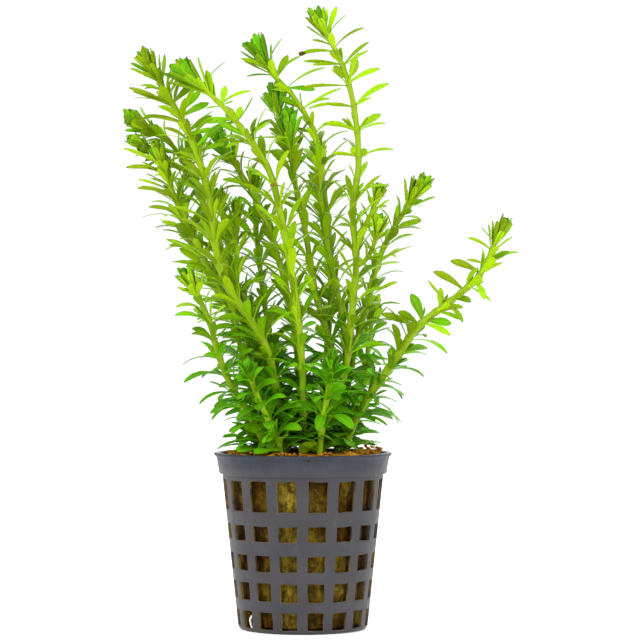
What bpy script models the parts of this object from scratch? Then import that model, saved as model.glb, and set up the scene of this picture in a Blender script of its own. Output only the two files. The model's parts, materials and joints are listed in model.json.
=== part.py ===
"""Rotala in a net pot: a bunch of leafy stems rooted in a plug of rock wool.

Metres, +Z up. The origin is the centre of the pot's underside, and the plant is seen from -Y.
Every stem and leaf is worked out from the routes in SHOOTS and the sizes named below.
"""

import math

import bmesh
import bpy
import numpy as np
from mathutils import Matrix, Vector
from mathutils.bvhtree import BVHTree

MM = 0.001
GAP = 0.3 * MM

# Net pot
COLUMNS = 16
SLOT_ANGLE = math.radians(14.0)
SLOT_ROWS = ((1.1, 6.0), (9.0, 14.0), (17.3, 21.7), (25.6, 29.8), (33.8, 42.2))
POT_HEIGHT = 49.5 * MM
WALL = 1.0 * MM
WALL_FOOT_RADIUS = 18.1 * MM
WALL_TOP_RADIUS = 22.9 * MM
WALL_TOP = 43.6 * MM
FOOT_RADIUS = 17.2 * MM
FLOOR_TOP = 1.1 * MM
BAND_FOOT = (23.6 * MM, 44.1 * MM)
BAND_TOP = (24.3 * MM, 48.2 * MM)
LIP_RADIUS = 25.0 * MM
LIP_FOOT = 48.5 * MM
MOUTH_RADIUS = 23.4 * MM
FLOOR_SLOTS = 8
FLOOR_SLOT = (7.0 * MM, 2.0 * MM)
FLOOR_SLOT_CENTRE = 10.5 * MM

# Rock wool
WOOL_SIDES = 16
WOOL_EDGE_TOP = 47.6 * MM
WOOL_CLEARANCE = 0.55 * MM
WOOL_SHOULDER = 42.0 * MM
WOOL_EDGE_INSET = 1.25 * MM
WOOL_DOME = ((13.0 * MM, 49.1 * MM), (6.0 * MM, 49.4 * MM))
ROOTING_DEPTH = 11.0 * MM
HOLE_OVERRUN = 4.0 * MM

# Stems
STEM_SIDES = 3
TIP_RADIUS = 0.62 * MM
NODE_SWELL = 1.12
NODE_BAND = 1.1 * MM
FIRST_INTERNODE = 3.0 * MM
INTERNODE_GROWTH = 1.5 * MM
LOWEST_NODE = 55.0 * MM
LOWEST_SIDE_NODE = 3.0 * MM
CORNER_REACH = 1.15

# Leaves, and how a shoot's stem and crown are numbered beside its nodes
STEM_ITSELF = -1
CROWN = 0
WHORL = 4
LEAVES = 3
FEW_LEAVES = 2
LOW_ZONE = 78.0 * MM
LOW_BLEND = 24.0 * MM
LEAF_THICKNESS = 0.42 * MM
LEAF_WIDEST = 0.68
LEAF_TOP_WIDTH = 1.8 * MM
LEAF_LOW_WIDTH = 2.9 * MM
LEAF_SHORT = 6.5 * MM
YOUNGEST = 0.35
LEAF_LONG = 11.2 * MM
FULL_LEAF_DEPTH = 24.0 * MM
LEAF_RISE = math.radians(50.0)
LEAF_BEND = math.radians(46.0)
EARLY_BEND = 0.2
SAG_AT_TIP = 0.6
LEAF_DROOP = 0.05
LOW_LEAF_DROOP = 0.175
LOW_LEAF_RISE = math.radians(30.0)
LEAF_ROLL = math.radians(35.0)
ROLL_WAVES = 5
WHORL_TURN = 45.0
WHORL_DRIFT = 11.0
LEAF_FLOOR = 51.0 * MM
SIDE_SHOOT_SCALE = 0.62
CROWN_LEAVES = 3
CROWN_LENGTH = 7.8 * MM
CROWN_WIDTH = 3.8 * MM
CROWN_TIP_SHARE = 0.55
CROWN_WIDEST = 0.82
SHORT_CROWN_LEAF = 0.88
SIDE_CROWN_SCALE = 0.75
CROWN_RISE = math.radians(73.0)
BUD_HEIGHT = 3.0 * MM
LEAF_ROOM = 0.2 * MM
LEAF_ROOM_SHARE = 0.38
STEM_ROOM = 1.2
SHORTER_LEAVES = (1.0, 0.85, 0.7)
LEAF_TURNS = (0.0, 12.0, -12.0, 24.0, -24.0)
LEAF_LIFTS = (0.0, 14.0, -14.0)
# How a leaf that meets another face of its shoot is rolled, lifted and turned aside, in degrees
SETTLING = [
    (roll, lift, turn)
    for lift in (0.0, -6.0, 6.0, -12.0, 12.0)
    for turn in (0.0, 5.0, -5.0, 10.0, -10.0)
    for roll in (0.0, 20.0, -20.0, 40.0)
]

# Each shoot: name, shoot it springs from, base radius, longest internode, route from base to tip.
# Sizes are in millimetres, and a route's points were chosen by eye along the stem.
SHOOTS = (
    ("stem_tall_right", None, 1.0, 9.5, (
        (5, -4.5, 49), (8, -5, 62), (12, -5.5, 73), (13.8, -6, 89), (14.9, -6, 103),
        (13.9, -5.5, 117), (15.6, -5, 131), (14.3, -5, 146), (11, -5, 158), (6.2, -5, 167))),
    ("stem_tall_middle", None, 0.95, 9.5, (
        (9.5, 2.5, 49), (10, 3, 63), (12.2, 3.5, 77), (10.4, 4, 91), (7, 4.5, 106),
        (4.6, 5, 123), (3.8, 5, 138), (-2.8, 5, 150), (-9, 5, 156.5))),
    ("stem_centre_back", None, 0.95, 9.0, (
        (5.3, 0.5, 49), (8, -0.3, 62), (9.2, -0.8, 74), (7.4, -0.5, 81), (3.4, 1, 95),
        (0.6, 2, 112), (-2.6, 3, 127), (-3.6, 3, 137.5))),
    ("stem_centre_front", None, 1.1, 9.5, (
        (0.3, -7.5, 49), (0.1, -8.5, 66), (-0.8, -9.5, 82), (-2.8, -10.5, 98),
        (-6.2, -11.5, 116), (-9.8, -12, 129), (-18.6, -12.5, 142),
        (-27.2, -12.5, 151))),
    ("stem_left_big", None, 1.15, 9.0, (
        (-5, -6.5, 49), (-7, -7, 65), (-9.8, -7, 78), (-15, -7, 87), (-20.5, -7, 95),
        (-24, -7, 105), (-26, -7, 121), (-32, -7, 139), (-41.5, -7, 155.5))),
    ("stem_left_high", None, 1.0, 9.0, (
        (-4.5, -1, 49), (-7, 2, 67), (-12, 5, 83), (-19, 7, 97), (-25.5, 8, 112),
        (-31, 8, 126), (-37, 7, 136), (-43.5, 6, 140.5))),
    ("stem_left_outer", None, 1.0, 8.5, (
        (-8.8, -2.2, 49), (-9.8, -0.7, 65), (-13, 0.5, 79), (-18.5, 1, 89), (-25, 1, 98.5),
        (-31.5, 1, 111), (-36, 0, 121), (-39.2, -1, 129.5))),
    ("stem_left_back", None, 0.95, 8.5, (
        (-5, 5, 49), (-9, 8, 65), (-15.5, 10.5, 79), (-22.5, 12, 91), (-29, 13, 103),
        (-33.5, 13, 114), (-35, 13, 123), (-32.5, 13.5, 133))),
    ("stem_left_low", None, 0.95, 7.5, (
        (-9.5, -8.5, 49), (-14, -11, 59), (-20, -13, 69), (-23.5, -14, 78), (-26, -15, 87),
        (-30, -15.5, 95.3))),
    ("stem_far_right", None, 1.15, 7.0, (
        (11.5, -3, 49), (14, -4, 57), (17.7, -5, 64), (25.3, -7, 75), (32.3, -8, 85),
        (41.3, -9, 92), (49, -9, 99), (53.6, -9, 108.2))),
    ("stem_right", None, 1.0, 8.0, (
        (10.8, 7, 49), (12, 7.5, 64), (14, 8, 75), (18.3, 8, 92), (21.6, 8, 104),
        (26, 8, 113), (31, 8, 121))),
    ("stem_thin_back", None, 0.8, 9.0, (
        (-3.5, 9.5, 49), (-7, 12, 65), (-9.5, 13.5, 81), (-11.2, 14.5, 92), (-13.2, 15, 109),
        (-14, 15, 124))),
    ("stem_middle_back", None, 0.95, 9.0, (
        (0.5, 3, 49), (0.5, 4, 61), (-0.8, 5, 75), (-3.2, 5.5, 89), (-7.6, 6.5, 106),
        (-12.8, 7.5, 120), (-20.8, 8, 133))),
    ("stem_thin_front", None, 0.75, 9.0, (
        (-12.8, -4, 49), (-13.8, -4, 64), (-16.5, -3.5, 75.5), (-18.5, -3, 84),
        (-18.8, -2.5, 96), (-18.5, -2, 115))),
    ("stem_back_tall", None, 0.95, 9.5, (
        (4, 8.5, 49), (6, 12.5, 70), (8, 17, 95), (7, 21, 116), (4.5, 24, 133))),
    ("stem_back_left", None, 0.95, 9.5, (
        (-8.8, 9.5, 49), (-13, 15, 66), (-17, 20, 84), (-21, 24, 103), (-24, 27, 119))),
    ("stem_back_right", None, 0.9, 9.0, (
        (9.5, 12, 49), (14, 18, 60), (18, 23, 73), (20, 27, 88))),
    ("stem_back_low", None, 0.9, 9.0, (
        (-0.5, 14, 49), (-1, 20, 61), (-2, 26, 76), (-3, 29, 88))),
    ("stem_front_low", None, 0.9, 7.0, (
        (4.5, -11.5, 49), (5.5, -14.5, 58), (7, -17.5, 67), (8, -19, 74))),
    ("stem_front_left", None, 0.9, 7.0, (
        (-5, -12.3, 49), (-8.5, -15.5, 57), (-12.5, -19, 66), (-14.5, -21, 72))),
    ("side_shoot_centre", "stem_centre_back", 0.7, 5.5, (
        (-3.4, 5.2, 132), (-5.4, 7, 137), (-7.4, 10.5, 146.5))),
    ("side_shoot_left", "stem_left_high", 0.7, 5.5, (
        (-34, 6.2, 129), (-37.5, 3.5, 131), (-42, 1.8, 133.5), (-44.8, 1, 135.3))),
    ("side_shoot_right_high", "stem_tall_right", 0.6, 5.0, (
        (16.1, -5, 111.5), (17.8, -4, 114), (19.8, -2.5, 118), (20.5, -2, 120))),
    ("side_shoot_right_low", "stem_tall_right", 0.6, 5.0, (
        (16.7, -7.2, 102.5), (18.7, -8.7, 105), (20.2, -10.5, 109), (20.6, -11, 111))),
)

# Shoots that stand inside the bunch, where fewer leaves show
INNER_SHOOTS = (
    "stem_centre_back", "stem_middle_back", "stem_thin_back", "stem_thin_front", "stem_left_back",
    "stem_back_low", "stem_back_right",
)

# Colours
POT_COLOUR = (0.095, 0.093, 0.108, 1.0)
WOOL_COLOUR = (0.17, 0.11, 0.02, 1.0)
PLANT_COLOUR = (0.20, 0.42, 0.02, 1.0)


def clear_scene():
    for thing in list(bpy.data.objects):
        bpy.data.objects.remove(thing, do_unlink=True)


def material(name, colour, roughness):
    made = bpy.data.materials.new(name)
    made.use_nodes = True
    shader = made.node_tree.nodes["Principled BSDF"]
    shader.inputs["Base Color"].default_value = colour
    shader.inputs["Roughness"].default_value = roughness
    shader.inputs["Metallic"].default_value = 0.0
    return made


def add_object(name, mesh_maker, finish):
    """A named object from a bmesh, its faces pointing out."""
    bmesh.ops.recalc_face_normals(mesh_maker, faces=mesh_maker.faces)
    if mesh_maker.calc_volume(signed=True) < 0.0:
        bmesh.ops.reverse_faces(mesh_maker, faces=mesh_maker.faces)
    mesh = bpy.data.meshes.new(name)
    mesh_maker.to_mesh(mesh)
    mesh_maker.free()
    made = bpy.data.objects.new(name, mesh)
    bpy.context.scene.collection.objects.link(made)
    mesh.materials.append(finish)
    mesh.shade_smooth()
    mesh.set_sharp_from_angle(angle=math.radians(35))
    return made


def cut_away(target, cutter):
    cutter.hide_render = True
    cutter.display_type = "WIRE"
    cut = target.modifiers.new("cut", "BOOLEAN")
    cut.operation = "DIFFERENCE"
    cut.solver = "EXACT"
    cut.object = cutter


def wall_radius(height):
    """Outer radius of the tapering wall."""
    return WALL_FOOT_RADIUS + (WALL_TOP_RADIUS - WALL_FOOT_RADIUS) * height / WALL_TOP


def turned(bm, profile, steps):
    """A profile of (radius, height) points turned once around Z."""
    points = [bm.verts.new((radius, 0.0, height)) for radius, height in profile]
    edges = [bm.edges.new(pair) for pair in zip(points, points[1:])]
    bmesh.ops.spin(
        bm,
        geom=points + edges,
        cent=(0.0, 0.0, 0.0),
        axis=(0.0, 0.0, 1.0),
        angle=2.0 * math.pi,
        steps=steps,
        use_merge=True,
    )
    bmesh.ops.remove_doubles(bm, verts=bm.verts, dist=0.001 * MM)


def close_ends(bm):
    """Fills the two open rings that a turned profile leaves."""
    rims = [edge for edge in bm.edges if edge.is_boundary]
    bmesh.ops.holes_fill(bm, edges=rims, sides=0)


def pot_profile():
    levels = [height * MM for row in SLOT_ROWS for height in row]
    outer = [(wall_radius(height), height) for height in levels]
    inner = [(radius - WALL, height) for radius, height in reversed(outer)]
    return (
        [(FOOT_RADIUS, 0.0)]
        + outer
        + [(WALL_TOP_RADIUS, WALL_TOP), BAND_FOOT, BAND_TOP]
        + [(LIP_RADIUS, LIP_FOOT), (LIP_RADIUS, POT_HEIGHT), (MOUTH_RADIUS, POT_HEIGHT)]
        + [(BAND_FOOT[0] - WALL, BAND_FOOT[1])]
        + inner
    )


def widen_slots(bm):
    """Turns the evenly spaced edges so that each slot is wider than the rib beside it."""
    even = math.pi / COLUMNS
    shift = 0.5 * (SLOT_ANGLE - even)
    for point in bm.verts:
        angle = math.atan2(point.co.y, point.co.x)
        step = round(angle / even)
        radius = math.hypot(point.co.x, point.co.y)
        turned_angle = step * even + (shift if step % 2 else -shift) + 0.5 * even
        point.co.x = radius * math.cos(turned_angle)
        point.co.y = radius * math.sin(turned_angle)


def open_slots(bm):
    """Takes the outer and the inner face of each slot away and bridges them."""
    pairs = {}
    for face in bm.faces:
        middle = face.calc_center_median()
        column = round(math.atan2(middle.y, middle.x) / (math.pi / COLUMNS))
        rows = [row for row in SLOT_ROWS if row[0] * MM < middle.z < row[1] * MM]
        if rows and column % 2 == 1 and abs(face.normal.z) < 0.5:
            pairs.setdefault((column % (2 * COLUMNS), rows[0]), []).append(face)
    for outer_and_inner in pairs.values():
        rims = [edge for face in outer_and_inner for edge in face.edges]
        bmesh.ops.delete(bm, geom=outer_and_inner, context="FACES_ONLY")
        bmesh.ops.bridge_loops(bm, edges=rims)


def net_pot(finish):
    bm = bmesh.new()
    turned(bm, pot_profile(), 2 * COLUMNS)
    bmesh.ops.recalc_face_normals(bm, faces=bm.faces)
    widen_slots(bm)
    open_slots(bm)
    close_ends(bm)
    pot = add_object("net_pot", bm, finish)
    cut_away(pot, floor_slot_cutter(finish))


def floor_slot_cutter(finish):
    bm = bmesh.new()
    for number in range(FLOOR_SLOTS):
        angle = (number + 0.5) * 2.0 * math.pi / FLOOR_SLOTS
        made = bmesh.ops.create_cube(bm, size=1.0)["verts"]
        bmesh.ops.scale(bm, vec=(*FLOOR_SLOT, 4.0 * FLOOR_TOP), verts=made)
        bmesh.ops.translate(bm, vec=(FLOOR_SLOT_CENTRE, 0.0, 0.5 * FLOOR_TOP), verts=made)
        bmesh.ops.rotate(bm, matrix=Matrix.Rotation(angle, 3, "Z"), verts=made)
    return add_object("floor_slot_cutter", bm, finish)


def wool_profile():
    """The plug keeps a gap to the pot's wall and floor, and its top is a low dome."""
    inset = WALL + WOOL_CLEARANCE
    foot = FLOOR_TOP + GAP
    return [
        (wall_radius(foot) - inset, foot),
        (wall_radius(WOOL_SHOULDER) - inset, WOOL_SHOULDER),
        (wall_radius(WOOL_SHOULDER) - WOOL_EDGE_INSET, WOOL_EDGE_TOP),
        *WOOL_DOME,
    ]


def rock_wool(shoots, finish):
    bm = bmesh.new()
    turned(bm, wool_profile(), WOOL_SIDES)
    close_ends(bm)
    wool = add_object("rock_wool", bm, finish)
    holes = bmesh.new()
    for shoot in shoots:
        if shoot.parent is None:
            root_hole(holes, shoot)
    cut_away(wool, add_object("root_hole_cutter", holes, finish))


class Shoot:
    """One stem: its smooth route, its nodes from the tip down and its frame at any point."""

    def __init__(self, name, parent, radius, longest, points):
        self.name = name
        self.parent = parent
        self.radius = radius * MM
        self.longest = longest * MM
        self.path = smooth_path([Vector(point) * MM for point in points])
        steps = [(b - a).length for a, b in zip(self.path, self.path[1:])]
        self.along = np.concatenate([[0.0], np.cumsum(steps)])
        self.length = float(self.along[-1])
        self.leaves = []

    def at(self, distance):
        """The point at a distance from the base, and the directions right, back and up the stem."""
        distance = min(max(distance, 0.0), self.length)
        number = min(int(np.searchsorted(self.along, distance)), len(self.path) - 1)
        number = max(number, 1)
        low, high = self.path[number - 1], self.path[number]
        share = (distance - self.along[number - 1]) / (self.along[number] - self.along[number - 1])
        up = (high - low).normalized()
        right = Vector((0.0, 1.0, 0.0)).cross(up).normalized()
        return low.lerp(high, share), right, up.cross(right), up

    def thickness(self, distance):
        """Radius at a distance from the base: thin at the tip and full from half-way down."""
        share = min(1.0, 2.0 * (self.length - distance) / self.length)
        return TIP_RADIUS + (self.radius - TIP_RADIUS) * math.sqrt(share)

    def nodes(self):
        """Distances of the nodes from the base, the tip's first."""
        found = [self.length]
        while True:
            step = FIRST_INTERNODE + INTERNODE_GROWTH * (len(found) - 1)
            below = found[-1] - min(step, self.longest)
            if below < LOWEST_SIDE_NODE or self.at(below)[0].z < LOWEST_NODE:
                return found
            found.append(below)


def smooth_path(points):
    """A Catmull-Rom curve through the points."""
    ends = [2 * points[0] - points[1], *points, 2 * points[-1] - points[-2]]
    curve = [points[0]]
    for a, b, c, d in zip(ends, ends[1:], ends[2:], ends[3:]):
        for number in range(1, 9):
            t = number / 8
            curve.append(
                0.5 * (2 * b + (c - a) * t + (2 * a - 5 * b + 4 * c - d) * t**2
                       + (3 * b - a - 3 * c + d) * t**3)
            )
    return curve


class Leaf:
    """A leaf's base, widest point and tip, with its width there and the way its edges lie."""

    def __init__(self, shoot, distance, azimuth, rise, bend, length, width, widest, droop, roll):
        centre, right, back, up = shoot.at(distance)
        out = right * math.cos(azimuth) + back * math.sin(azimuth)
        self.centre = centre
        self.out = out
        self.width = width
        self.base = centre + out * shoot.thickness(distance)
        early = rise - EARLY_BEND * bend
        first = out * math.cos(early) + up * math.sin(early)
        last = out * math.cos(rise - bend) + up * math.sin(rise - bend)
        sag = Vector((0.0, 0.0, -droop * length))
        self.middle = self.base + first * (widest * length) + sag * (1.0 - SAG_AT_TIP)
        self.tip = self.middle + last * ((1.0 - widest) * length) + sag * SAG_AT_TIP
        along = (self.tip - self.base).normalized()
        self.side = Matrix.Rotation(roll, 3, along) @ up.cross(out)
        self.below = self.side.cross(along).normalized()

    def room(self):
        """Balls along the leaf, all but its base, that no other shoot may enter."""
        points = [self.base.lerp(self.middle, share) for share in (0.2, 0.4, 0.6, 0.8, 1.0)]
        points += [self.middle.lerp(self.tip, share) for share in (0.35, 0.7, 1.0)]
        return points, LEAF_ROOM + LEAF_ROOM_SHARE * self.width


class Room:
    """The room that stems and leaves take, held as balls with the shoot and node of each."""

    def __init__(self):
        self.centres = np.zeros((0, 3))
        self.radii = np.zeros(0)
        self.owners = np.zeros(0, dtype=int)
        self.nodes = np.zeros(0, dtype=int)

    def take(self, points, radius, owner, node):
        self.centres = np.vstack([self.centres, np.array([tuple(p) for p in points])])
        self.radii = np.concatenate([self.radii, np.full(len(points), radius)])
        self.owners = np.concatenate([self.owners, np.full(len(points), owner)])
        self.nodes = np.concatenate([self.nodes, np.full(len(points), node)])

    def is_free(self, points, radius, owner, node):
        """Whether the balls are clear of other shoots and of the leaves of this shoot's other nodes."""
        others = (self.owners != owner) | ((self.nodes != node) & (self.nodes != STEM_ITSELF))
        away = np.array([tuple(p) for p in points])[:, None, :] - self.centres[others][None]
        distance = np.sqrt((away**2).sum(axis=2))
        return bool((distance > self.radii[others] + radius + GAP).all())


def leaf_size(shoot, distance):
    """Length and width of a leaf: short under the tip, long lower down and broad at the base."""
    depth = shoot.length - distance
    grown = min(1.0, YOUNGEST + depth / FULL_LEAF_DEPTH)
    height = shoot.at(distance)[0].z
    low = min(1.0, max(0.0, 0.5 + (LOW_ZONE - height) / LOW_BLEND))
    length = LEAF_SHORT + (LEAF_LONG - LEAF_SHORT) * grown
    if shoot.parent:
        length *= SIDE_SHOOT_SCALE
    return length, LEAF_TOP_WIDTH + (LEAF_LOW_WIDTH - LEAF_TOP_WIDTH) * low, low


def grow_leaf(room, owner, node, shoot, distance, azimuth):
    """The first of a few turned, raised or shortened leaves that is clear of all the others."""
    length, width, low = leaf_size(shoot, distance)
    for shorter in SHORTER_LEAVES:
        for turn in LEAF_TURNS:
            for lift in LEAF_LIFTS:
                leaf = Leaf(
                    shoot,
                    distance,
                    azimuth + math.radians(turn),
                    LEAF_RISE + (LOW_LEAF_RISE - LEAF_RISE) * low + math.radians(lift),
                    LEAF_BEND,
                    length * shorter,
                    width,
                    LEAF_WIDEST,
                    LEAF_DROOP + (LOW_LEAF_DROOP - LEAF_DROOP) * low,
                    LEAF_ROLL * math.sin(ROLL_WAVES * azimuth),
                )
                points, radius = leaf.room()
                high = min(point.z for point in points) > LEAF_FLOOR
                if high and room.is_free(points, radius, owner, node):
                    room.take(points, radius, owner, node)
                    return leaf
    return None


def grow(shoots):
    """Gives every shoot its leaves, each as the list of leaves of one node."""
    room = Room()
    for owner, shoot in enumerate(shoots):
        steps = int(shoot.length / MM)
        for number in range(steps):
            distance = shoot.length * number / steps
            radius = STEM_ROOM * shoot.thickness(distance)
            room.take([shoot.at(distance)[0]], radius, owner, STEM_ITSELF)
        shoot.leaves.append(crown_leaves(shoot))
        for leaf in shoot.leaves[0]:
            room.take(*leaf.room(), owner, CROWN)
    for owner, shoot in enumerate(shoots):
        for node, distance in enumerate(shoot.nodes()[1:], CROWN + 1):
            few = shoot.name in INNER_SHOOTS or shoot.at(distance)[0].z < LOW_ZONE
            azimuths = whorl(shoot, distance, owner, node)[: FEW_LEAVES if few else LEAVES]
            grown = [grow_leaf(room, owner, node, shoot, distance, azimuth) for azimuth in azimuths]
            shoot.leaves.append([leaf for leaf in grown if leaf])


def whorl(shoot, distance, owner, node):
    """The azimuths of a node's leaves, those that point away from the bunch first."""
    centre, right, back, _ = shoot.at(distance)
    outward = math.atan2(centre.y * back.y, centre.x * right.x)
    drift = WHORL_DRIFT * ((owner * 5 + node * 3) % 7 - 3)
    start = math.radians(WHORL_TURN * (node % 2) + drift)
    azimuths = [start + 2.0 * math.pi * place / WHORL for place in range(WHORL)]
    return sorted(azimuths, key=lambda azimuth: -math.cos(azimuth - outward))


def crown_leaves(shoot):
    """The tight tuft of upright leaves that ends a shoot."""
    scale = SIDE_CROWN_SCALE if shoot.parent else 1.0
    return [
        Leaf(
            shoot,
            shoot.length,
            (place + 0.5) * 2.0 * math.pi / CROWN_LEAVES,
            CROWN_RISE,
            0.0,
            CROWN_LENGTH * scale * (SHORT_CROWN_LEAF if place == 0 else 1.0),
            CROWN_WIDTH * scale,
            CROWN_WIDEST,
            0.0,
            0.0,
        )
        for place in range(CROWN_LEAVES)
    ]


def ring_points(shoot, distance, swell):
    """The corners of the stem, which reach a little past the round stem that it stands for."""
    centre, right, back, _ = shoot.at(distance)
    radius = CORNER_REACH * swell * shoot.thickness(distance)
    angles = [2.0 * math.pi * side / STEM_SIDES for side in range(STEM_SIDES)]
    return [centre + (right * math.cos(a) + back * math.sin(a)) * radius for a in angles]


def rim_of(ring):
    """The edges that join a ring of points in turn."""
    return [
        edge
        for first, second in zip(ring, ring[1:] + ring[:1])
        for edge in first.link_edges
        if edge.other_vert(first) is second
    ]


def extend(bm, ring, points):
    """Carries a ring on to the next points in turn, and returns the new ring and the faces."""
    made = bmesh.ops.extrude_edge_only(bm, edges=rim_of(ring))["geom"]
    fresh = {item for item in made if isinstance(item, bmesh.types.BMVert)}
    faces = [item for item in made if isinstance(item, bmesh.types.BMFace)]
    upper = []
    for vert, point in zip(ring, points):
        above = next(e.other_vert(vert) for e in vert.link_edges if e.other_vert(vert) in fresh)
        above.co = point
        upper.append(above)
    return upper, faces


def facing(faces, leaf):
    """The face of a node's band that looks most the way the leaf grows."""
    return max(faces, key=lambda face: (face.calc_center_median() - leaf.centre).dot(leaf.out))


def extrude_leaf(bm, face, leaf):
    """Draws one triangle of the stem out into a leaf with a keel, twisted least, ending in a point."""
    before = set(bm.faces)
    made = bmesh.ops.extrude_discrete_faces(bm, faces=[face])["faces"][0]
    half = leaf.side * (0.5 * leaf.width)
    section = [-half, leaf.below * LEAF_THICKNESS, half]
    corners = list(made.verts)
    foot = made.calc_center_median()
    turns = [section[first:] + section[:first] for first in range(3)]
    nearest = max(
        turns,
        key=lambda points: sum((v.co - foot).dot(p) for v, p in zip(corners, points)),
    )
    for corner, point in zip(corners, nearest):
        corner.co = leaf.middle + point
    made = bmesh.ops.extrude_discrete_faces(bm, faces=[made])["faces"][0]
    bmesh.ops.pointmerge(bm, verts=made.verts, merge_co=leaf.tip)
    settle(bm, [item for item in bm.faces if item not in before], corners, leaf)


def settle(bm, faces, section, leaf):
    """Swings and rolls a new leaf about its foot until none of its faces passes through another."""
    bmesh.ops.triangulate(bm, faces=faces)
    tip = next(
        edge.other_vert(section[0])
        for edge in section[0].link_edges
        if (edge.other_vert(section[0]).co - leaf.tip).length < GAP
    )
    places = [(corner, corner.co - leaf.base) for corner in [*section, tip]]
    along = (leaf.tip - leaf.base).normalized()
    for roll, lift, turn in SETTLING:
        swing = (
            Matrix.Rotation(math.radians(turn), 3, leaf.below)
            @ Matrix.Rotation(math.radians(lift), 3, leaf.side)
            @ Matrix.Rotation(math.radians(roll), 3, along)
        )
        for corner, place in places:
            corner.co = leaf.base + swing @ place
        if not crossed(bm):
            return


def crossed(bm):
    """Whether any face of the shoot passes through another."""
    tree = BVHTree.FromBMesh(bm)
    return bool(tree.overlap(tree))


def extrude_crown_leaf(bm, face, leaf):
    """Draws one side of the stem out into a broad leaf of even thickness, ending in a blunt edge."""
    half_width = leaf.side * (0.5 * leaf.width)
    half_depth = leaf.below * (0.5 * LEAF_THICKNESS)
    foot = face.calc_center_median()
    made = bmesh.ops.extrude_discrete_faces(bm, faces=[face])["faces"][0]
    for corner in made.verts:
        across = math.copysign(1.0, (corner.co - foot).dot(leaf.side))
        down = math.copysign(1.0, (corner.co - foot).dot(leaf.below))
        corner.co = leaf.middle + half_width * across + half_depth * down
    made = bmesh.ops.extrude_discrete_faces(bm, faces=[made])["faces"][0]
    sides = [(corner, (corner.co - leaf.middle).dot(leaf.side)) for corner in made.verts]
    for hand in (-1.0, 1.0):
        pair = [corner for corner, across in sides if across * hand > 0.0]
        end = leaf.tip + half_width * (CROWN_TIP_SHARE * hand)
        bmesh.ops.pointmerge(bm, verts=pair, merge_co=end)


def put_crown(bm, faces, leaves):
    for leaf in leaves:
        face = facing(faces, leaf)
        faces.remove(face)
        extrude_crown_leaf(bm, face, leaf)


def put_leaves(bm, faces, leaves):
    """Gives each leaf of a node the free triangle of the node's band that faces its way most."""
    triangles = bmesh.ops.triangulate(bm, faces=faces)["faces"]
    for leaf in leaves:
        face = facing(triangles, leaf)
        triangles.remove(face)
        extrude_leaf(bm, face, leaf)


def build_shoot(shoot, finish):
    bm = bmesh.new()
    depth = ROOTING_DEPTH if shoot.parent is None else 0.0
    start = ring_points(shoot, 0.0, 1.0)
    rooted = [point - Vector((0.0, 0.0, depth)) for point in start]
    ring = [bm.verts.new(point) for point in rooted]
    bm.faces.new(ring)
    if depth:
        ring, _ = extend(bm, ring, start)
    bands = []
    for distance, leaves in reversed(list(zip(shoot.nodes(), shoot.leaves))):
        ring, _ = extend(bm, ring, ring_points(shoot, distance - NODE_BAND, NODE_SWELL))
        ring, faces = extend(bm, ring, ring_points(shoot, distance, NODE_SWELL))
        bands.append((faces, leaves))
    cap = [bm.faces.new(ring)]
    bmesh.ops.recalc_face_normals(bm, faces=bm.faces)
    tip, _, _, up = shoot.at(shoot.length)
    bud = bmesh.ops.poke(bm, faces=cap)["verts"]
    for vert in bud:
        vert.co = tip + up * BUD_HEIGHT
    *lower_bands, crown_band = bands
    put_crown(bm, *crown_band)
    for faces, leaves in lower_bands:
        put_leaves(bm, faces, leaves)
    add_object(shoot.name, bm, finish)


def root_hole(bm, shoot):
    """Adds the room of a rooted stem's foot to the tool that cuts the rock wool."""
    start = ring_points(shoot, 0.0, 1.0)
    centre = shoot.at(0.0)[0]
    wide = 1.0 + 2.0 * GAP / shoot.thickness(0.0)
    ring = [centre + (point - centre) * wide for point in start]
    drop = Vector((0.0, 0.0, ROOTING_DEPTH + GAP))
    foot = [bm.verts.new(point - drop) for point in ring]
    bm.faces.new(foot)
    top, _ = extend(bm, foot, [point + Vector((0.0, 0.0, HOLE_OVERRUN)) for point in ring])
    bm.faces.new(top)


def main():
    clear_scene()
    shoots = [Shoot(*row) for row in SHOOTS]
    grow(shoots)
    net_pot(material("pot plastic", POT_COLOUR, 0.5))
    rock_wool(shoots, material("rock wool", WOOL_COLOUR, 0.95))
    green = material("living green", PLANT_COLOUR, 0.45)
    for shoot in shoots:
        build_shoot(shoot, green)


main()
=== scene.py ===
"""Rotala in a net pot: the finished pot, rock wool, roots, stems and leaves, and the studio stage.

Laid out as an add-on: the settings below are what a user would change, and each operator makes one
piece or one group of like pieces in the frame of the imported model. Metres, +Z up, seen from -Y.
"""

import json
import math
import random
from dataclasses import dataclass

import bmesh
import bpy
from bpy.props import FloatProperty, FloatVectorProperty, IntProperty, PointerProperty
from mathutils import Matrix, Vector, noise

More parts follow.
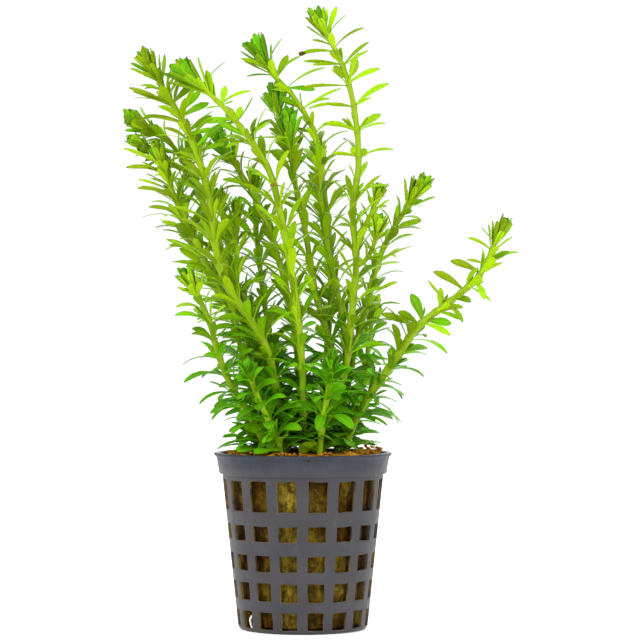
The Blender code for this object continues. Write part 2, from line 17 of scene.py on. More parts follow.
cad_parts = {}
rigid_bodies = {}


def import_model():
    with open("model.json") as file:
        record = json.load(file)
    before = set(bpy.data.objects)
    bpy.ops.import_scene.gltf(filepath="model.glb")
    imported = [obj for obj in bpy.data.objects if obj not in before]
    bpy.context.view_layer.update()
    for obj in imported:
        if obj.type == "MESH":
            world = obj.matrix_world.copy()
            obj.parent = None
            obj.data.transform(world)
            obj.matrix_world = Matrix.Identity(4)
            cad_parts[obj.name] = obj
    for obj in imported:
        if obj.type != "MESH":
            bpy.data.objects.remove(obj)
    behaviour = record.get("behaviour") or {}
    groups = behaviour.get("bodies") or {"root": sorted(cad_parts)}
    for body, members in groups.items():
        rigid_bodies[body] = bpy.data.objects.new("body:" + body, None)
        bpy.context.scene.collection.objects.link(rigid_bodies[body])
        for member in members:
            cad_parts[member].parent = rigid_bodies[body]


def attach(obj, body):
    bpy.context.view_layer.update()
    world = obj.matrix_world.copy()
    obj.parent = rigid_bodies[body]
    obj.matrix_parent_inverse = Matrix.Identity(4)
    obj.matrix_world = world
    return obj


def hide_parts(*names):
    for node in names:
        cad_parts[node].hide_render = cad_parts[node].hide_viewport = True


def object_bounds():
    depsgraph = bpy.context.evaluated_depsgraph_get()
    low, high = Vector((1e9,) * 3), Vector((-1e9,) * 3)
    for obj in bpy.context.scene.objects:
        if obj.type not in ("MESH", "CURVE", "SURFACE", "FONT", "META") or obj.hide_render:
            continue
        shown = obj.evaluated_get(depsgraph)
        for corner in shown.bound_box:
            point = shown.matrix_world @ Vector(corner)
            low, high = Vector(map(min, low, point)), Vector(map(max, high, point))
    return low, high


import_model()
CAD_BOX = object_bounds()

bl_info = {
    "name": "Rotala in a net pot",
    "version": (1, 0, 0),
    "blender": (4, 5, 0),
    "location": "3D View > Sidebar > Rotala",
    "description": "A bunch of rotala stems rooted in rock wool, in a slotted net pot",
    "category": "Add Mesh",
}

MM = 0.001
UP = Vector((0.0, 0.0, 1.0))
TURN = 2.0 * math.pi
WELD = 0.002 * MM

# Net pot, in millimetres: how the turn is shared out, the slots' foot and head, and the wall's radii
COLUMNS = 16
STEPS_PER_COLUMN = 8
SLOT_STEPS = 5
COLUMN_ANGLE = TURN / COLUMNS
SLOT_ANGLE = math.radians(14.0)
SLOT_ROWS = ((1.1, 6.0), (9.0, 14.0), (17.3, 21.7), (25.6, 29.8), (33.8, 42.2))
SLOT_INSIDE = 16.4
WALL_FOOT_RADIUS = 18.1
WALL_TOP_RADIUS = 22.7
WALL_TOP = 43.6
FLOOR_TOP = 1.1
FLOOR_SLOT = (7.0, 14.0)
MOULD_MARK = Vector((1.7, -24.4, 48.2)) * MM

# The moulding's unevenness: noise cells to the metre, and how far the wall and the lip are shifted
WALL_CELLS, WALL_SHIFT, WALL_TWIST = 420.0, 0.3 * MM, 0.28 * MM
LIP_CELLS, LIP_SWING = 130.0, 0.16 * MM

# Rock wool, in millimetres: the plug's foot, its shoulder under the lip and the edge of its top
WOOL_FOOT = 1.45
WOOL_SIDE_RINGS = 44
WOOL_SHOULDER = ((21.9, 46.4), (22.2, 47.4), (22.2, 48.3), (21.8, 48.9))
WOOL_TOP_EDGE = (20.9, 49.1)
WOOL_TOP_RINGS = 26
WOOL_STEPS = 160

# Heaps of wool on top of the plug: place, radius and height in millimetres, and how orange they are
MOUNDS = (
    (17.0, -4.0, 4.5, 1.5, 1.0), (19.5, 3.0, 3.0, 1.0, 0.7), (-16.5, -14.0, 2.0, 0.9, 1.0),
    (-8.8, -19.2, 1.6, 0.8, 1.0), (1.5, -20.2, 2.2, 0.7, 0.9), (10.5, -17.5, 2.4, 0.8, 0.8),
    (14.0, -14.5, 2.5, 0.9, 1.0), (-19.5, -5.0, 3.0, 0.4, 0.2), (-3.0, 18.0, 4.0, 0.7, 0.6),
    (-14.0, 14.0, 3.5, 0.8, 0.4),
)

# Crumbs of loose wool, in millimetres: the sectors they lie in, in degrees, how far out, and their size
CRUMBS = 160
CRUMB_SECTORS = ((-180.0, -100.0), (-125.0, -60.0), (-45.0, 20.0), (-45.0, 20.0))
CRUMB_RING, CRUMB_LIP_RING = (14.5, 22.3), (20.5, 22.3)
CRUMB_HEIGHT, CRUMB_RADIUS = (49.1, 50.1), (0.2, 0.55)
CRUMB_HEAP = (17.5, -3.0)
HEAP_RADIUS, HEAP_LIFT = 5.0, (0.4, 1.3)

# The white root in a slot and the clot of wool beside it, in millimetres
ROOT_ROUTE = ((-13.4, -9.4, 5.0), (-14.1, -10.0, 4.4), (-14.5, -10.3, 3.5), (-14.4, -10.3, 2.6),
              (-14.2, -10.2, 1.8), (-14.0, -10.0, 1.25))
ROOT_SIDES = 10
ROOT_RADIUS = 0.34
CLOT_PLACE = Vector((-14.6, -9.7, 5.3)) * MM
CLOT_RADIUS = 0.75 * MM

# Each shoot: name, parent, base radius, longest internode, leaf size, age, its tuft's size and how much
# darker that is painted as shade within the bunch, and its route. Millimetres, as in the model.
SHOOTS = (
    ("tall_right", None, 1.0, 6.9, 1.0, 0.0, 0.96, 0.25, (
        (5, -4.5, 49), (8, -5, 62), (12, -5.5, 73), (13.8, -6, 89), (14.9, -6, 103), (13.9, -5.5, 117),
        (15.6, -5, 131), (14.3, -5, 146), (11, -5, 158), (6.2, -5, 167))),
    ("tall_middle", None, 0.95, 6.6, 1.0, 0.05, 1.08, 0.35, (
        (9.5, 2.5, 49), (10, 3, 63), (12.2, 3.5, 77), (10.4, 4, 91), (7, 4.5, 106), (4.6, 5, 123),
        (3.8, 5, 138), (-2.8, 5, 150), (-8.4, 5, 155.8), (-10.4, 5, 158.9))),
    ("centre_back", None, 0.95, 6.2, 0.95, 0.1, 1.12, 0.5, (
        (5.3, 0.5, 49), (8, -0.3, 62), (9.2, -0.8, 74), (7.4, -0.5, 81), (3.4, 1, 95), (0.6, 2, 112),
        (-2.6, 3, 127), (-3.6, 3, 137.5))),
    ("centre_front", None, 1.1, 6.6, 1.0, 0.0, 1.3, 0.3, (
        (0.3, -7.5, 49), (0.1, -8.5, 66), (-0.8, -9.5, 82), (-2.8, -10.5, 98), (-6.2, -11.5, 116),
        (-9.8, -12, 129), (-19.3, -12.5, 142.6), (-28, -12.5, 151.3))),
    ("left_big", None, 1.15, 6.0, 1.0, 0.0, 0.98, 0.0, (
        (-5, -6.5, 49), (-7, -7, 65), (-9.8, -7, 78), (-15, -7, 87), (-20.5, -7, 95), (-24, -7, 105),
        (-26, -7, 121), (-32, -7, 139), (-41.5, -7, 155.5))),
    ("left_high", None, 1.0, 6.0, 1.0, 0.0, 1.12, 0.05, (
        (-4.5, -1, 49), (-7, 2, 67), (-12, 5, 83), (-19, 7, 97), (-25.5, 8, 112), (-31, 8, 126),
        (-37, 7, 136), (-43.5, 6, 140.5))),
    ("left_outer", None, 1.0, 5.8, 0.95, 0.05, 1.0, 0.0, (
        (-8.8, -2.2, 49), (-9.8, -0.7, 65), (-13, 0.5, 79), (-18.5, 1, 89), (-25, 1, 98.5), (-31.5, 1, 111),
        (-36, 0, 121), (-39.2, -1, 129.5))),
    ("left_back", None, 0.95, 5.8, 0.95, 0.1, 1.0, 0.1, (
        (-5, 5, 49), (-9, 8, 65), (-15.5, 10.5, 79), (-22.5, 12, 91), (-29, 13, 103), (-33.5, 13, 114),
        (-35, 13, 123), (-32.5, 13.5, 133))),
    ("left_low", None, 0.95, 5.4, 0.9, 0.15, 0.85, 0.1, (
        (-9.5, -8.5, 49), (-14, -11, 59), (-20, -13, 69), (-23.5, -14, 78), (-26, -15, 87),
        (-30, -15.5, 95.3))),
    ("far_right", None, 1.15, 5.2, 0.88, 0.0, 0.95, 0.05, (
        (11.5, -3, 49), (14, -4, 57), (17.7, -5, 64), (25.3, -7, 75), (32.3, -8, 85), (41.3, -9, 92),
        (49, -9, 99), (53.6, -9, 108.2))),
    ("right", None, 1.0, 5.2, 0.9, 0.05, 1.0, 0.05, (
        (10.8, 7, 49), (12, 7.5, 64), (14, 8, 75), (18.3, 8, 92), (21.6, 8, 104), (26, 8, 113),
        (31, 8, 121))),
    ("thin_back", None, 0.8, 6.0, 0.9, 0.2, 0.75, 0.1, (
        (-3.5, 9.5, 49), (-7, 12, 65), (-9.5, 13.5, 81), (-11.2, 14.5, 92), (-13.2, 15, 109),
        (-14, 15, 124))),
    ("middle_back", None, 0.95, 6.0, 0.95, 0.1, 1.05, 0.6, (
        (0.5, 3, 49), (0.5, 4, 61), (-0.8, 5, 75), (-3.2, 5.5, 89), (-7.6, 6.5, 106), (-12.8, 7.5, 120),
        (-20.8, 8, 133))),
    ("thin_front", None, 0.75, 6.0, 0.85, 0.1, 0.75, 0.1, (
        (-12.8, -4, 49), (-13.8, -4, 64), (-16.5, -3.5, 75.5), (-18.5, -3, 84), (-18.8, -2.5, 96),
        (-18.5, -2, 115))),
    ("back_tall", None, 0.95, 6.4, 0.95, 0.2, 0.8, 0.1, (
        (4, 8.5, 49), (6, 12.5, 70), (8, 17, 95), (7, 21, 116), (4.5, 24, 133))),
    ("back_left", None, 0.95, 6.4, 0.95, 0.2, 0.8, 0.1, (
        (-8.8, 9.5, 49), (-13, 15, 66), (-17, 20, 84), (-21, 24, 103), (-24, 27, 119))),
    ("back_right", None, 0.9, 6.0, 0.9, 0.25, 0.8, 0.1, (
        (9.5, 12, 49), (14, 18, 60), (18, 23, 73), (20, 27, 88))),
    ("back_low", None, 0.9, 6.0, 0.9, 0.3, 0.8, 0.1, (
        (-0.5, 14, 49), (-1, 20, 61), (-2, 26, 76), (-3, 29, 88))),
    ("front_low", None, 0.9, 4.6, 1.0, 0.6, 0.6, 0.9, (
        (4.5, -11.5, 49), (5.5, -14.5, 58), (7, -17.5, 67), (8, -19, 74))),
    ("front_left", None, 0.9, 4.6, 1.0, 0.6, 0.6, 0.9, (
        (-5, -12.3, 49), (-8.5, -15.5, 57), (-12.5, -19, 66), (-14.5, -21, 72))),
    ("side_centre", "centre_back", 0.7, 4.0, 0.7, 0.05, 1.0, 0.55, (
        (-3.4, 5.2, 132), (-5.4, 7, 137), (-7.4, 10.5, 146.5))),
    ("side_left", "left_high", 0.7, 4.0, 0.7, 0.05, 0.68, 0.2, (
        (-34, 6.2, 129), (-37.5, 3.5, 131), (-42, 1.8, 133.5), (-44.8, 1, 135.3))),
    ("side_right_high", "tall_right", 0.6, 3.4, 0.6, 0.0, 0.7, 0.0, (
        (16.1, -5, 111.5), (17.8, -4, 114), (19.8, -2.5, 118), (20.5, -2, 120))),
    ("side_right_low", "tall_right", 0.6, 3.4, 0.6, 0.0, 0.7, 0.0, (
        (16.7, -7.2, 102.5), (18.7, -8.7, 105), (20.2, -10.5, 109), (20.6, -11, 111))),
)
# Shoots with one leaf more in each whorl than the others
FULLER = ("left_high", "left_outer", "left_big")

# Leaves that stand clear of the bunch, each as its foot's height on the stem, its tip's place from the
# front, its width, how it arches in degrees, how far its face turns to the front, and its age
CLEAR_LEAVES = {
    "tall_right": (
        (167, 6.6, 173.6, 1.0, -8, 0.1, 0.1), (166, 9.4, 173.9, 1.8, 0, 1.0, 0.1),
        (166, 12, 171.6, 0.5, 20, 0.2, 0.3), (163, 2.6, 165, 0.8, 25, 0.2, 0.1),
        (162.5, 17, 168, 1.0, 40, 0.3, 0.1), (161.5, -1, 161, 1.4, 30, 0.3, 0.3),
        (158, 0.3, 159, 1.3, 10, 0.3, 0.1), (158, 2.8, 157.9, 1.2, 8, 0.2, 0.2),
        (154, 8.6, 157.4, 2.0, 0, 1.3, 0.2), (157.5, 18.5, 164.4, 1.1, 22, 0.3, 0.1),
        (157.5, 18.2, 161.6, 1.2, 12, 0.4, 0.1), (153.5, 15.4, 159.4, 1.9, -5, 1.2, 0.0),
        (152.7, 21.5, 156.9, 1.7, 25, 0.5, 0.1), (152, -0.2, 151.8, 1.1, 12, 0.2, 0.1),
        (146, 24, 152.7, 1.7, 35, 0.4, 0.1), (146, 19, 148.6, 0.9, 20, 0.3, 0.1),
        (146, 7.6, 146.7, 1.2, 20, 0.3, 0.1), (146, 1.6, 145.8, 1.0, 40, 0.2, 0.2),
        (139, 6, 141.3, 1.7, 45, 0.4, 0.2), (139, 10.9, 142.8, 1.2, 20, 0.3, 0.2),
        (139.5, 21.8, 144, 1.9, 25, 0.7, 0.0), (139, 23, 141.3, 1.2, 40, 0.3, 0.2),
        (132, 13.4, 134.8, 2.0, 0, 1.3, 0.2), (132, 17.8, 134.4, 2.0, 0, 1.3, 0.1),
        (131.8, 25.2, 134, 1.1, 45, 0.3, 0.1), (132, 8.2, 133, 1.2, 30, 0.3, 0.1),
        (121.5, 24.3, 124.2, 1.0, 45, 0.3, 0.1), (121.5, 17, 125, 0.9, 0, 0.5, 0.2),
    ),
    "tall_middle": (
        (156.5, -17.5, 160.4, 1.3, 30, 0.3, 0.1), (155.8, -15.9, 155.3, 0.8, 25, 0.2, 0.7),
        (158.5, -5.9, 166.4, 0.4, 25, 0.2, 0.8), (155, -4.3, 161.6, 1.8, 8, 1.1, 0.1),
        (155.5, -0.9, 161.2, 0.9, 30, 0.3, 0.2), (152.2, 6.2, 157.8, 1.1, 35, 0.3, 0.2),
        (152.2, 3.4, 152, 1.6, 12, 0.6, 0.7), (146.2, 10.7, 152, 1.2, 20, 0.3, 0.1),
        (146.2, 7.6, 149.4, 1.2, 45, 0.3, 0.2), (151, -6.2, 151, 0.8, 10, 0.2, 0.2),
        (146.5, -6.2, 149.4, 1.8, 5, 0.6, 0.6), (139.2, 7.6, 142.6, 1.3, 30, 0.4, 0.3),
        (139.4, -1.7, 141, 1.0, -10, 0.3, 0.4),
    ),
    "centre_front": (
        (152, -21.4, 157.6, 0.4, 25, 0.2, 0.6), (146, -21.4, 151.3, 1.7, 0, 1.2, 0.2),
        (146.2, -14.5, 150.1, 1.1, 38, 0.3, 0.1), (146, -19.2, 146.9, 0.8, 5, 0.3, 0.3),
        (141.5, -17, 145.6, 1.7, 0, 1.1, 0.2), (141.3, -13.8, 148, 0.9, -18, 0.3, 0.7),
        (137, -8.5, 141.9, 1.2, 50, 0.3, 0.2), (137, -9.5, 141.2, 1.0, 25, 0.3, 0.3),
        (137, -3.5, 136.9, 0.8, 5, 0.2, 0.2), (136.5, -21.4, 134.3, 1.2, 25, 0.3, 0.3),
        (145.8, -27, 145.2, 0.6, 5, 0.2, 0.4), (148.5, -26.7, 155.7, 2.1, 5, 1.0, 0.3),
        (147.5, -25.4, 153, 1.7, 0, 0.9, 0.5), (149, -35.8, 155.2, 1.7, 12, 0.8, 0.4),
        (148, -34.7, 152.8, 1.5, 15, 0.7, 0.3), (142, -27.5, 141.5, 1.7, 15, 0.7, 0.6),
        (141.5, -26.5, 137.5, 1.6, 35, 0.6, 0.7), (137, -23.8, 141.8, 1.6, 0, 0.9, 0.7),
    ),
    "far_right": (
        (108.3, 49.5, 112.6, 0.4, -10, 0.2, 0.4), (105.8, 45.9, 109.4, 1.1, 38, 0.4, 0.1),
        (102, 50, 106.4, 0.8, 0, 0.6, 0.1), (102, 45.6, 103.3, 0.9, 20, 0.4, 0.1),
        (101.5, 57.2, 105.5, 1.8, 25, 0.6, 0.4), (101.8, 60, 105.4, 1.0, 45, 0.3, 0.1),
        (99.5, 41.2, 103, 1.9, 28, 0.7, 0.1), (95.5, 48.9, 101, 1.5, 60, 0.4, 0.3),
        (94.8, 36.4, 100, 2.0, 28, 0.7, 0.1), (97.5, 50.3, 92.4, 1.6, 42, 0.5, 0.3),
        (96, 52.3, 91.8, 0.8, 20, 0.4, 0.2), (92.4, 46.7, 91.6, 2.0, 45, 0.5, 0.2),
        (89.7, 38.4, 95.5, 1.6, 0, 0.9, 0.1), (91.5, 34.8, 97.6, 0.7, -20, 0.4, 0.1),
        (91, 44.5, 86, 1.8, 35, 0.6, 0.1), (89, 44, 86.8, 1.5, 15, 0.5, 0.1),
        (86.5, 41.4, 85.6, 2.2, 8, 0.7, 0.7), (85.8, 40.9, 82.4, 1.6, 25, 0.5, 0.2),
        (62.5, 27.5, 58, 0.5, 55, 0.2, 1.25), (86, 30.1, 93.8, 2.4, 22, 0.8, 0.7),
        (85, 26.5, 88.8, 2.0, 32, 0.6, 0.4), (84.7, 22, 88.3, 1.9, 10, 0.6, 0.3),
    ),
    "left_high": (
        (134, -44.6, 135.4, 1.2, 25, 0.3, 0.2), (129, -41.5, 130.2, 1.2, 30, 0.4, 0.2),
    ),
    "left_outer": (
        (133.5, -50.2, 134.7, 1.2, 20, 0.4, 0.2), (128.5, -49.7, 129.4, 1.3, 25, 0.5, 0.2),
        (121.5, -46.4, 123.6, 1.2, 30, 0.4, 0.2), (122.5, -46.4, 126.2, 1.0, 20, 0.3, 0.1),
        (116.5, -43.6, 118.5, 1.3, 25, 0.5, 0.2), (111.5, -39.8, 114.2, 1.4, 25, 0.5, 0.3),
        (106, -37.6, 107.6, 1.2, 30, 0.4, 0.3), (101, -35.6, 103.0, 1.2, 25, 0.4, 0.3),
    ),
    "left_big": (
        (147, -30.5, 152.8, 1.7, 5, 0.9, 0.3), (144, -28.6, 150.5, 1.8, 10, 0.8, 0.5),
        (143, -26.2, 147, 1.8, 20, 0.8, 0.6), (139, -25.4, 143.5, 1.8, 15, 0.7, 0.4),
        (138, -24.6, 139.5, 1.5, 25, 0.5, 0.5), (134.5, -22.8, 141, 1.7, 5, 0.9, 0.6),
        (133, -21.5, 135.5, 1.6, 25, 0.6, 0.4), (149, -33.2, 157.5, 1.4, -15, 0.5, 0.0),
        (150, -32.6, 159.2, 0.9, 10, 0.3, 0.1), (146, -48.3, 151.2, 1.4, 10, 0.5, 0.0),
        (145.5, -47.4, 150.3, 1.2, 15, 0.4, 0.0), (152, -38.4, 160.5, 1.1, -12, 0.4, 0.1),
        (141, -43.8, 143.6, 1.2, 20, 0.3, 0.1),
    ),
    "left_low": (
        (54.5, -15.6, 57.0, 2.6, 10, 0.6, 1.9), (64, -25.2, 58.9, 1.0, 55, 0.3, 1.2),
    ),
    "front_left": (
        (53.0, -9.0, 50.2, 2.8, 45, 0.7, 0.8), (53.5, -12.0, 50.4, 2.2, 60, 0.5, 1.0),
    ),
    "front_low": (
        (52.5, -1.0, 50.0, 2.8, 30, 0.8, 0.3), (52.5, 2.3, 50.2, 2.6, 40, 0.8, 0.6),
        (52.0, 1.5, 53.6, 1.4, 10, 0.7, 1.6), (51.5, 3.6, 50.9, 1.6, 0, 0.9, 1.25),
    ),
}
# Above these heights the leaves at the sides of the stem are those listed
CLEAR_ABOVE = {"tall_right": 120.0, "tall_middle": 138.0, "centre_front": 135.5, "far_right": 83.0}
# The shoot and the tip of the one high leaf that has withered brown at its end, and a withered leaf's age
BROWN_TIP = ("tall_right", -1, 161)
WITHERED = 1.7

# A leaf is set out at these shares of its length, in two columns
STATIONS = (0.0, 0.16, 0.36, 0.57, 0.77, 0.92, 1.0)
BLADE_COLUMNS = 2
# How deep a stem starts below its first point, in wool and in another stem, and its shortest foot
WOOL_ROOTING, SIDE_ROOTING, FOOT = 5.0 * MM, 1.2 * MM, 3.0 * MM
# The first internode below a tip, and how much longer each next one is
FIRST_INTERNODE, INTERNODE_GROWTH = 2.4 * MM, 1.0 * MM
# Heights: the lowest part of a leaf, the lowest node, the old leaves' zone, and the whorls at a stem's foot
LOWEST_LEAF = 49.9 * MM
LOWEST_NODE = 51.5 * MM
OLD_BELOW, OLD_STEM_BELOW, OLD_SPAN = 92.0 * MM, 75.0 * MM, 30.0 * MM
BASE_WHORLS = (50.6, 52.6, 54.4)
# A leaf that ends below this height and further out than this hangs over the lip
LIP_HEIGHT, LIP_REACH = 56.0 * MM, 18.0 * MM
# The least room between a leaf's tip and the side of the model's box
TIP_ROOM = 0.3 * MM
# From a shoot's tip down, leaves are young over the first length and reach full size over the second
YOUNG_DEPTH, GROWN_DEPTH = 9.0 * MM, 26.0 * MM
# Each ring of a tuft: leaves, drop below the tip, lift and arch in degrees, length, width, how dark, which is
# painted shade deeper inside the tuft
TUFT_RINGS = (
    (4, 2.6, 56.0, -2.0, 8.2, 1.7, 0.0), (6, 1.4, 65.0, -7.0, 8.6, 1.8, 0.1),
    (6, 0.6, 71.0, -7.0, 8.7, 1.9, 0.35), (6, 0.0, 77.0, -4.0, 8.0, 1.8, 0.6),
    (5, -0.3, 82.0, 0.0, 7.2, 1.7, 0.8), (4, -0.6, 87.0, 0.0, 6.6, 1.6, 1.0),
)

# Colours and gloss of the materials' finer detail
WATER_MARK, SCUFF, DARK_MARK = (0.06, 0.055, 0.06), (0.1, 0.095, 0.1), (0.004, 0.004, 0.006)
ROOT_WHITE, ROOT_TAN = (0.78, 0.76, 0.7), (0.5, 0.42, 0.28)
STEM_STREAK, STEM_BLUSH, OLD_STEM = (0.2, 0.38, 0.008), (0.2, 0.09, 0.01), (0.16, 0.36, 0.012)
LEAF_FOOT, LEAF_MARGIN, LEAF_BROWN = (0.42, 0.56, 0.006), (0.44, 0.58, 0.008), (0.1, 0.035, 0.008)
LEAF_MIDRIB, TUFT_MIDRIB = (0.38, 0.54, 0.01), (0.09, 0.26, 0.002)
PLANT_GLOSS = 0.11

# Softboxes: place, width and power; and the point that they face
LAMPS = (
    ("key softbox", (-0.55, -0.75, 0.75), 0.5, 9.0), ("fill softbox", (0.7, -0.6, 0.3), 0.6, 3.5),
    ("back softbox", (0.1, 0.8, 0.6), 0.6, 6.0),
)
LIT_POINT = Vector((0.0, 0.0, 0.09))
FLOOR_HALF = 3.0


class PotSettings(bpy.types.PropertyGroup):
    lip_radius: FloatProperty(
        name="Lip radius", description="Outer radius of the lip", default=0.025, unit="LENGTH")
    mouth_radius: FloatProperty(
        name="Mouth radius", description="Inner radius of the mouth", default=0.0234, unit="LENGTH")
    wall: FloatProperty(
        name="Wall", description="Thickness of the moulded wall", default=0.001, unit="LENGTH")
    edge: FloatProperty(
        name="Edge", description="Rounding of the edges of the slots", default=0.00018, unit="LENGTH")
    colour: FloatVectorProperty(
        name="Plastic", description="Colour of the pot's plastic",
        default=(0.028, 0.0265, 0.03), subtype="COLOR", min=0.0, max=1.0)
    # The band under the lip: painted shade with a cool painted sheen, darker and bluer than the plastic
    lip_shade: FloatVectorProperty(
        name="Under the lip", description="Cooler tone under the lip",
        default=(0.006, 0.011, 0.022), subtype="COLOR", min=0.0, max=1.0)
    stain: FloatVectorProperty(
        name="Stain", description="Ochre stain on the cut edges of the slots",
        default=(0.13, 0.078, 0.012), subtype="COLOR", min=0.0, max=1.0)


class WoolSettings(bpy.types.PropertyGroup):
    clearance: FloatProperty(
        name="Clearance", description="Room between the wool and the pot", default=0.0012, unit="LENGTH")
    lumps: FloatProperty(
        name="Lumps", description="Depth of the folds in the wool", default=0.0012, unit="LENGTH")
    # Near black in the folds: painted shade there, partly the darker wet wool
    wet_shaded_folds: FloatVectorProperty(
        name="Dark", description="Wet wool in the folds",
        default=(0.008, 0.004, 0.0004), subtype="COLOR", min=0.0, max=1.0)
    brown: FloatVectorProperty(
        name="Brown", description="Wool coloured by roots and algae",
        default=(0.085, 0.035, 0.001), subtype="COLOR", min=0.0, max=1.0)
    pale: FloatVectorProperty(
        name="Pale", description="Clean yellowish wool",
        default=(0.29, 0.2, 0.02), subtype="COLOR", min=0.0, max=1.0)
    loose: FloatVectorProperty(
        name="Loose", description="Loose orange-brown wool on top",
        default=(0.42, 0.19, 0.012), subtype="COLOR", min=0.0, max=1.0)


class StemSettings(bpy.types.PropertyGroup):
    sides: IntProperty(name="Sides", description="Faces round a stem", default=10, min=5, max=24)
    tip_radius: FloatProperty(
        name="Tip radius", description="Radius of a stem under its tuft", default=0.00052, unit="LENGTH")
    swell: FloatProperty(name="Swell", description="How much a node is thicker", default=1.2)
    slimness: FloatProperty(
        name="Slimness", description="Stem's radius as a share of its corners' reach in the model",
        default=0.86)
    colour: FloatVectorProperty(
        name="Stem", description="Colour of a stem",
        default=(0.225, 0.34, 0.002), subtype="COLOR", min=0.0, max=1.0)
    node_colour: FloatVectorProperty(
        name="Node", description="Colour of a stem's nodes",
        default=(0.17, 0.28, 0.003), subtype="COLOR", min=0.0, max=1.0)


class LeafSettings(bpy.types.PropertyGroup):
    length: FloatProperty(
        name="Length", description="Length of a grown leaf", default=0.0119, unit="LENGTH")
    width: FloatProperty(
        name="Width", description="Width of an upper leaf", default=0.0021, unit="LENGTH")
    low_width: FloatProperty(
        name="Low width", description="Width of a leaf near the pot", default=0.0036, unit="LENGTH")
    thickness: FloatProperty(
        name="Thickness", description="Thickness of a leaf at its midrib", default=0.00026, unit="LENGTH")
    rise: FloatProperty(
        name="Rise", description="How steeply a leaf leaves its stem",
        default=math.radians(54.0), subtype="ANGLE")
    bend: FloatProperty(
        name="Bend", description="How far a leaf arches over",
        default=math.radians(40.0), subtype="ANGLE")
    young: FloatVectorProperty(
        name="Young", description="Colour of a young leaf",
        default=(0.405, 0.53, 0.005), subtype="COLOR", min=0.0, max=1.0)
    old: FloatVectorProperty(
        name="Old", description="Colour of an old leaf near the pot",
        default=(0.108, 0.41, 0.002), subtype="COLOR", min=0.0, max=1.0)
    tip: FloatVectorProperty(
        name="Tip", description="Colour of a leaf's tip",
        default=(0.1, 0.15, 0.01), subtype="COLOR", min=0.0, max=1.0)


class StageSettings(bpy.types.PropertyGroup):
    distance: FloatProperty(
        name="Distance", description="From the camera to the pot's axis", default=0.75, unit="LENGTH")
    height: FloatProperty(
        name="Height", description="Height of the level camera", default=0.0866, unit="LENGTH")
    aside: FloatProperty(
        name="Aside", description="How far the camera stands to the right", default=0.0048, unit="LENGTH")
    lens: FloatProperty(name="Lens", description="Focal length of the camera", default=150.0, unit="CAMERA")


def put(tree, socket, value):
    """Sets a socket from another node's output, a colour or a number."""
    if isinstance(value, bpy.types.NodeSocket):
        tree.links.new(value, socket)
    elif socket.type == "RGBA":
        socket.default_value = (*tuple(value)[:3], 1.0)
    else:
        socket.default_value = value


def fill(tree, node, **inputs):
    """Sets a node's inputs by their names, written with _ for a space."""
    for name, value in inputs.items():
        put(tree, node.inputs[name.replace("_", " ")], value)
    return node


def add(tree, kind, **inputs):
    """A new node of that kind, with its inputs set by name."""
    return fill(tree, tree.nodes.new(kind), **inputs)


def mixed(tree, factor, first, second):
    """A colour between two others."""
    node = tree.nodes.new("ShaderNodeMix")
    node.data_type = "RGBA"
    for number, value in ((0, factor), (6, first), (7, second)):
        put(tree, node.inputs[number], value)
    return node.outputs[2]


def ranged(tree, value, low, high, start=0.0, end=1.0):
    """A value taken smoothly from one range to another."""
    node = add(tree, "ShaderNodeMapRange",
               Value=value, From_Min=low, From_Max=high, To_Min=start, To_Max=end)
    node.interpolation_type = "SMOOTHSTEP"
    return node.outputs["Result"]


def reckoned(tree, operation, first, second=0.0):
    """One or two values put through a Math node."""
    node = tree.nodes.new("ShaderNodeMath")
    node.operation = operation
    put(tree, node.inputs[0], first)
    put(tree, node.inputs[1], second)
    return node.outputs[0]


def speckle(tree, place, scale, detail=3.0, roughness=0.55, stretch=(1.0, 1.0, 1.0)):
    """Fractal noise over a place, its cells stretched along the axes."""
    mapping = add(tree, "ShaderNodeMapping", Vector=place, Scale=stretch)
    return add(tree, "ShaderNodeTexNoise", Vector=mapping.outputs[0], Scale=scale, Detail=detail,
               Roughness=roughness).outputs["Fac"]


def attribute(tree, name, output):
    node = tree.nodes.new("ShaderNodeAttribute")
    node.attribute_name = name
    return node.outputs[output]


def shaded(tree, colour, tone, share):
    """The colour made up to that share brighter or darker by a tone from -1 to 1."""
    strength = ranged(tree, tone, -1.0, 1.0, 1.0 - share, 1.0 + share)
    return add(tree, "ShaderNodeHueSaturation", Color=colour, Value=strength).outputs[0]


def bumped(tree, shader, height, distance, strength=0.5):
    fill(tree, shader, Normal=add(
        tree, "ShaderNodeBump", Height=height, Distance=distance, Strength=strength).outputs[0])


def new_material(name):
    """A material, its node tree, its Principled shader and its Object coordinates."""
    made = bpy.data.materials.new(name)
    made.use_nodes = True
    tree = made.node_tree
    return made, tree, tree.nodes["Principled BSDF"], tree.nodes.new("ShaderNodeTexCoord").outputs["Object"]


def plastic_material(settings):
    """Dull blue-grey moulded plastic with faint scuffs and water marks, and painted shade with a cool painted
    sheen on the band under the lip.
    """
    made, tree, shader, place = new_material("moulded net pot plastic")
    height = add(tree, "ShaderNodeSeparateXYZ", Vector=place).outputs["Z"]
    # Mask of the band under the lip, where painted shade and a cool painted sheen go
    under_lip_shade = ranged(tree, height, 43.5 * MM, 48.5 * MM)
    cloud = speckle(tree, place, 90.0, 4.0)
    scuff = speckle(tree, place, 700.0, 5.0, 0.7, (1.0, 1.0, 0.35))
    colour = mixed(tree, under_lip_shade, settings.colour, settings.lip_shade)
    colour = mixed(tree, ranged(tree, cloud, 0.35, 0.7, 0.0, 0.3), colour, WATER_MARK)
    colour = mixed(tree, ranged(tree, scuff, 0.55, 0.8, 0.0, 0.3), colour, SCUFF)
    away = tree.nodes.new("ShaderNodeVectorMath")
    away.operation = "DISTANCE"
    put(tree, away.inputs[0], place)
    put(tree, away.inputs[1], MOULD_MARK)
    mark = ranged(tree, away.outputs["Value"], 0.3 * MM, 0.7 * MM, 1.0, 0.0)
    dull = ranged(tree, scuff, 0.3, 0.8, 0.42, 0.62)
    colour = mixed(tree, mark, colour, DARK_MARK)
    fill(tree, shader, Base_Color=colour, Roughness=dull, Specular_IOR_Level=0.32)
    bumped(tree, shader, reckoned(tree, "ADD", scuff, cloud), 0.12 * MM, 0.35)
    return made


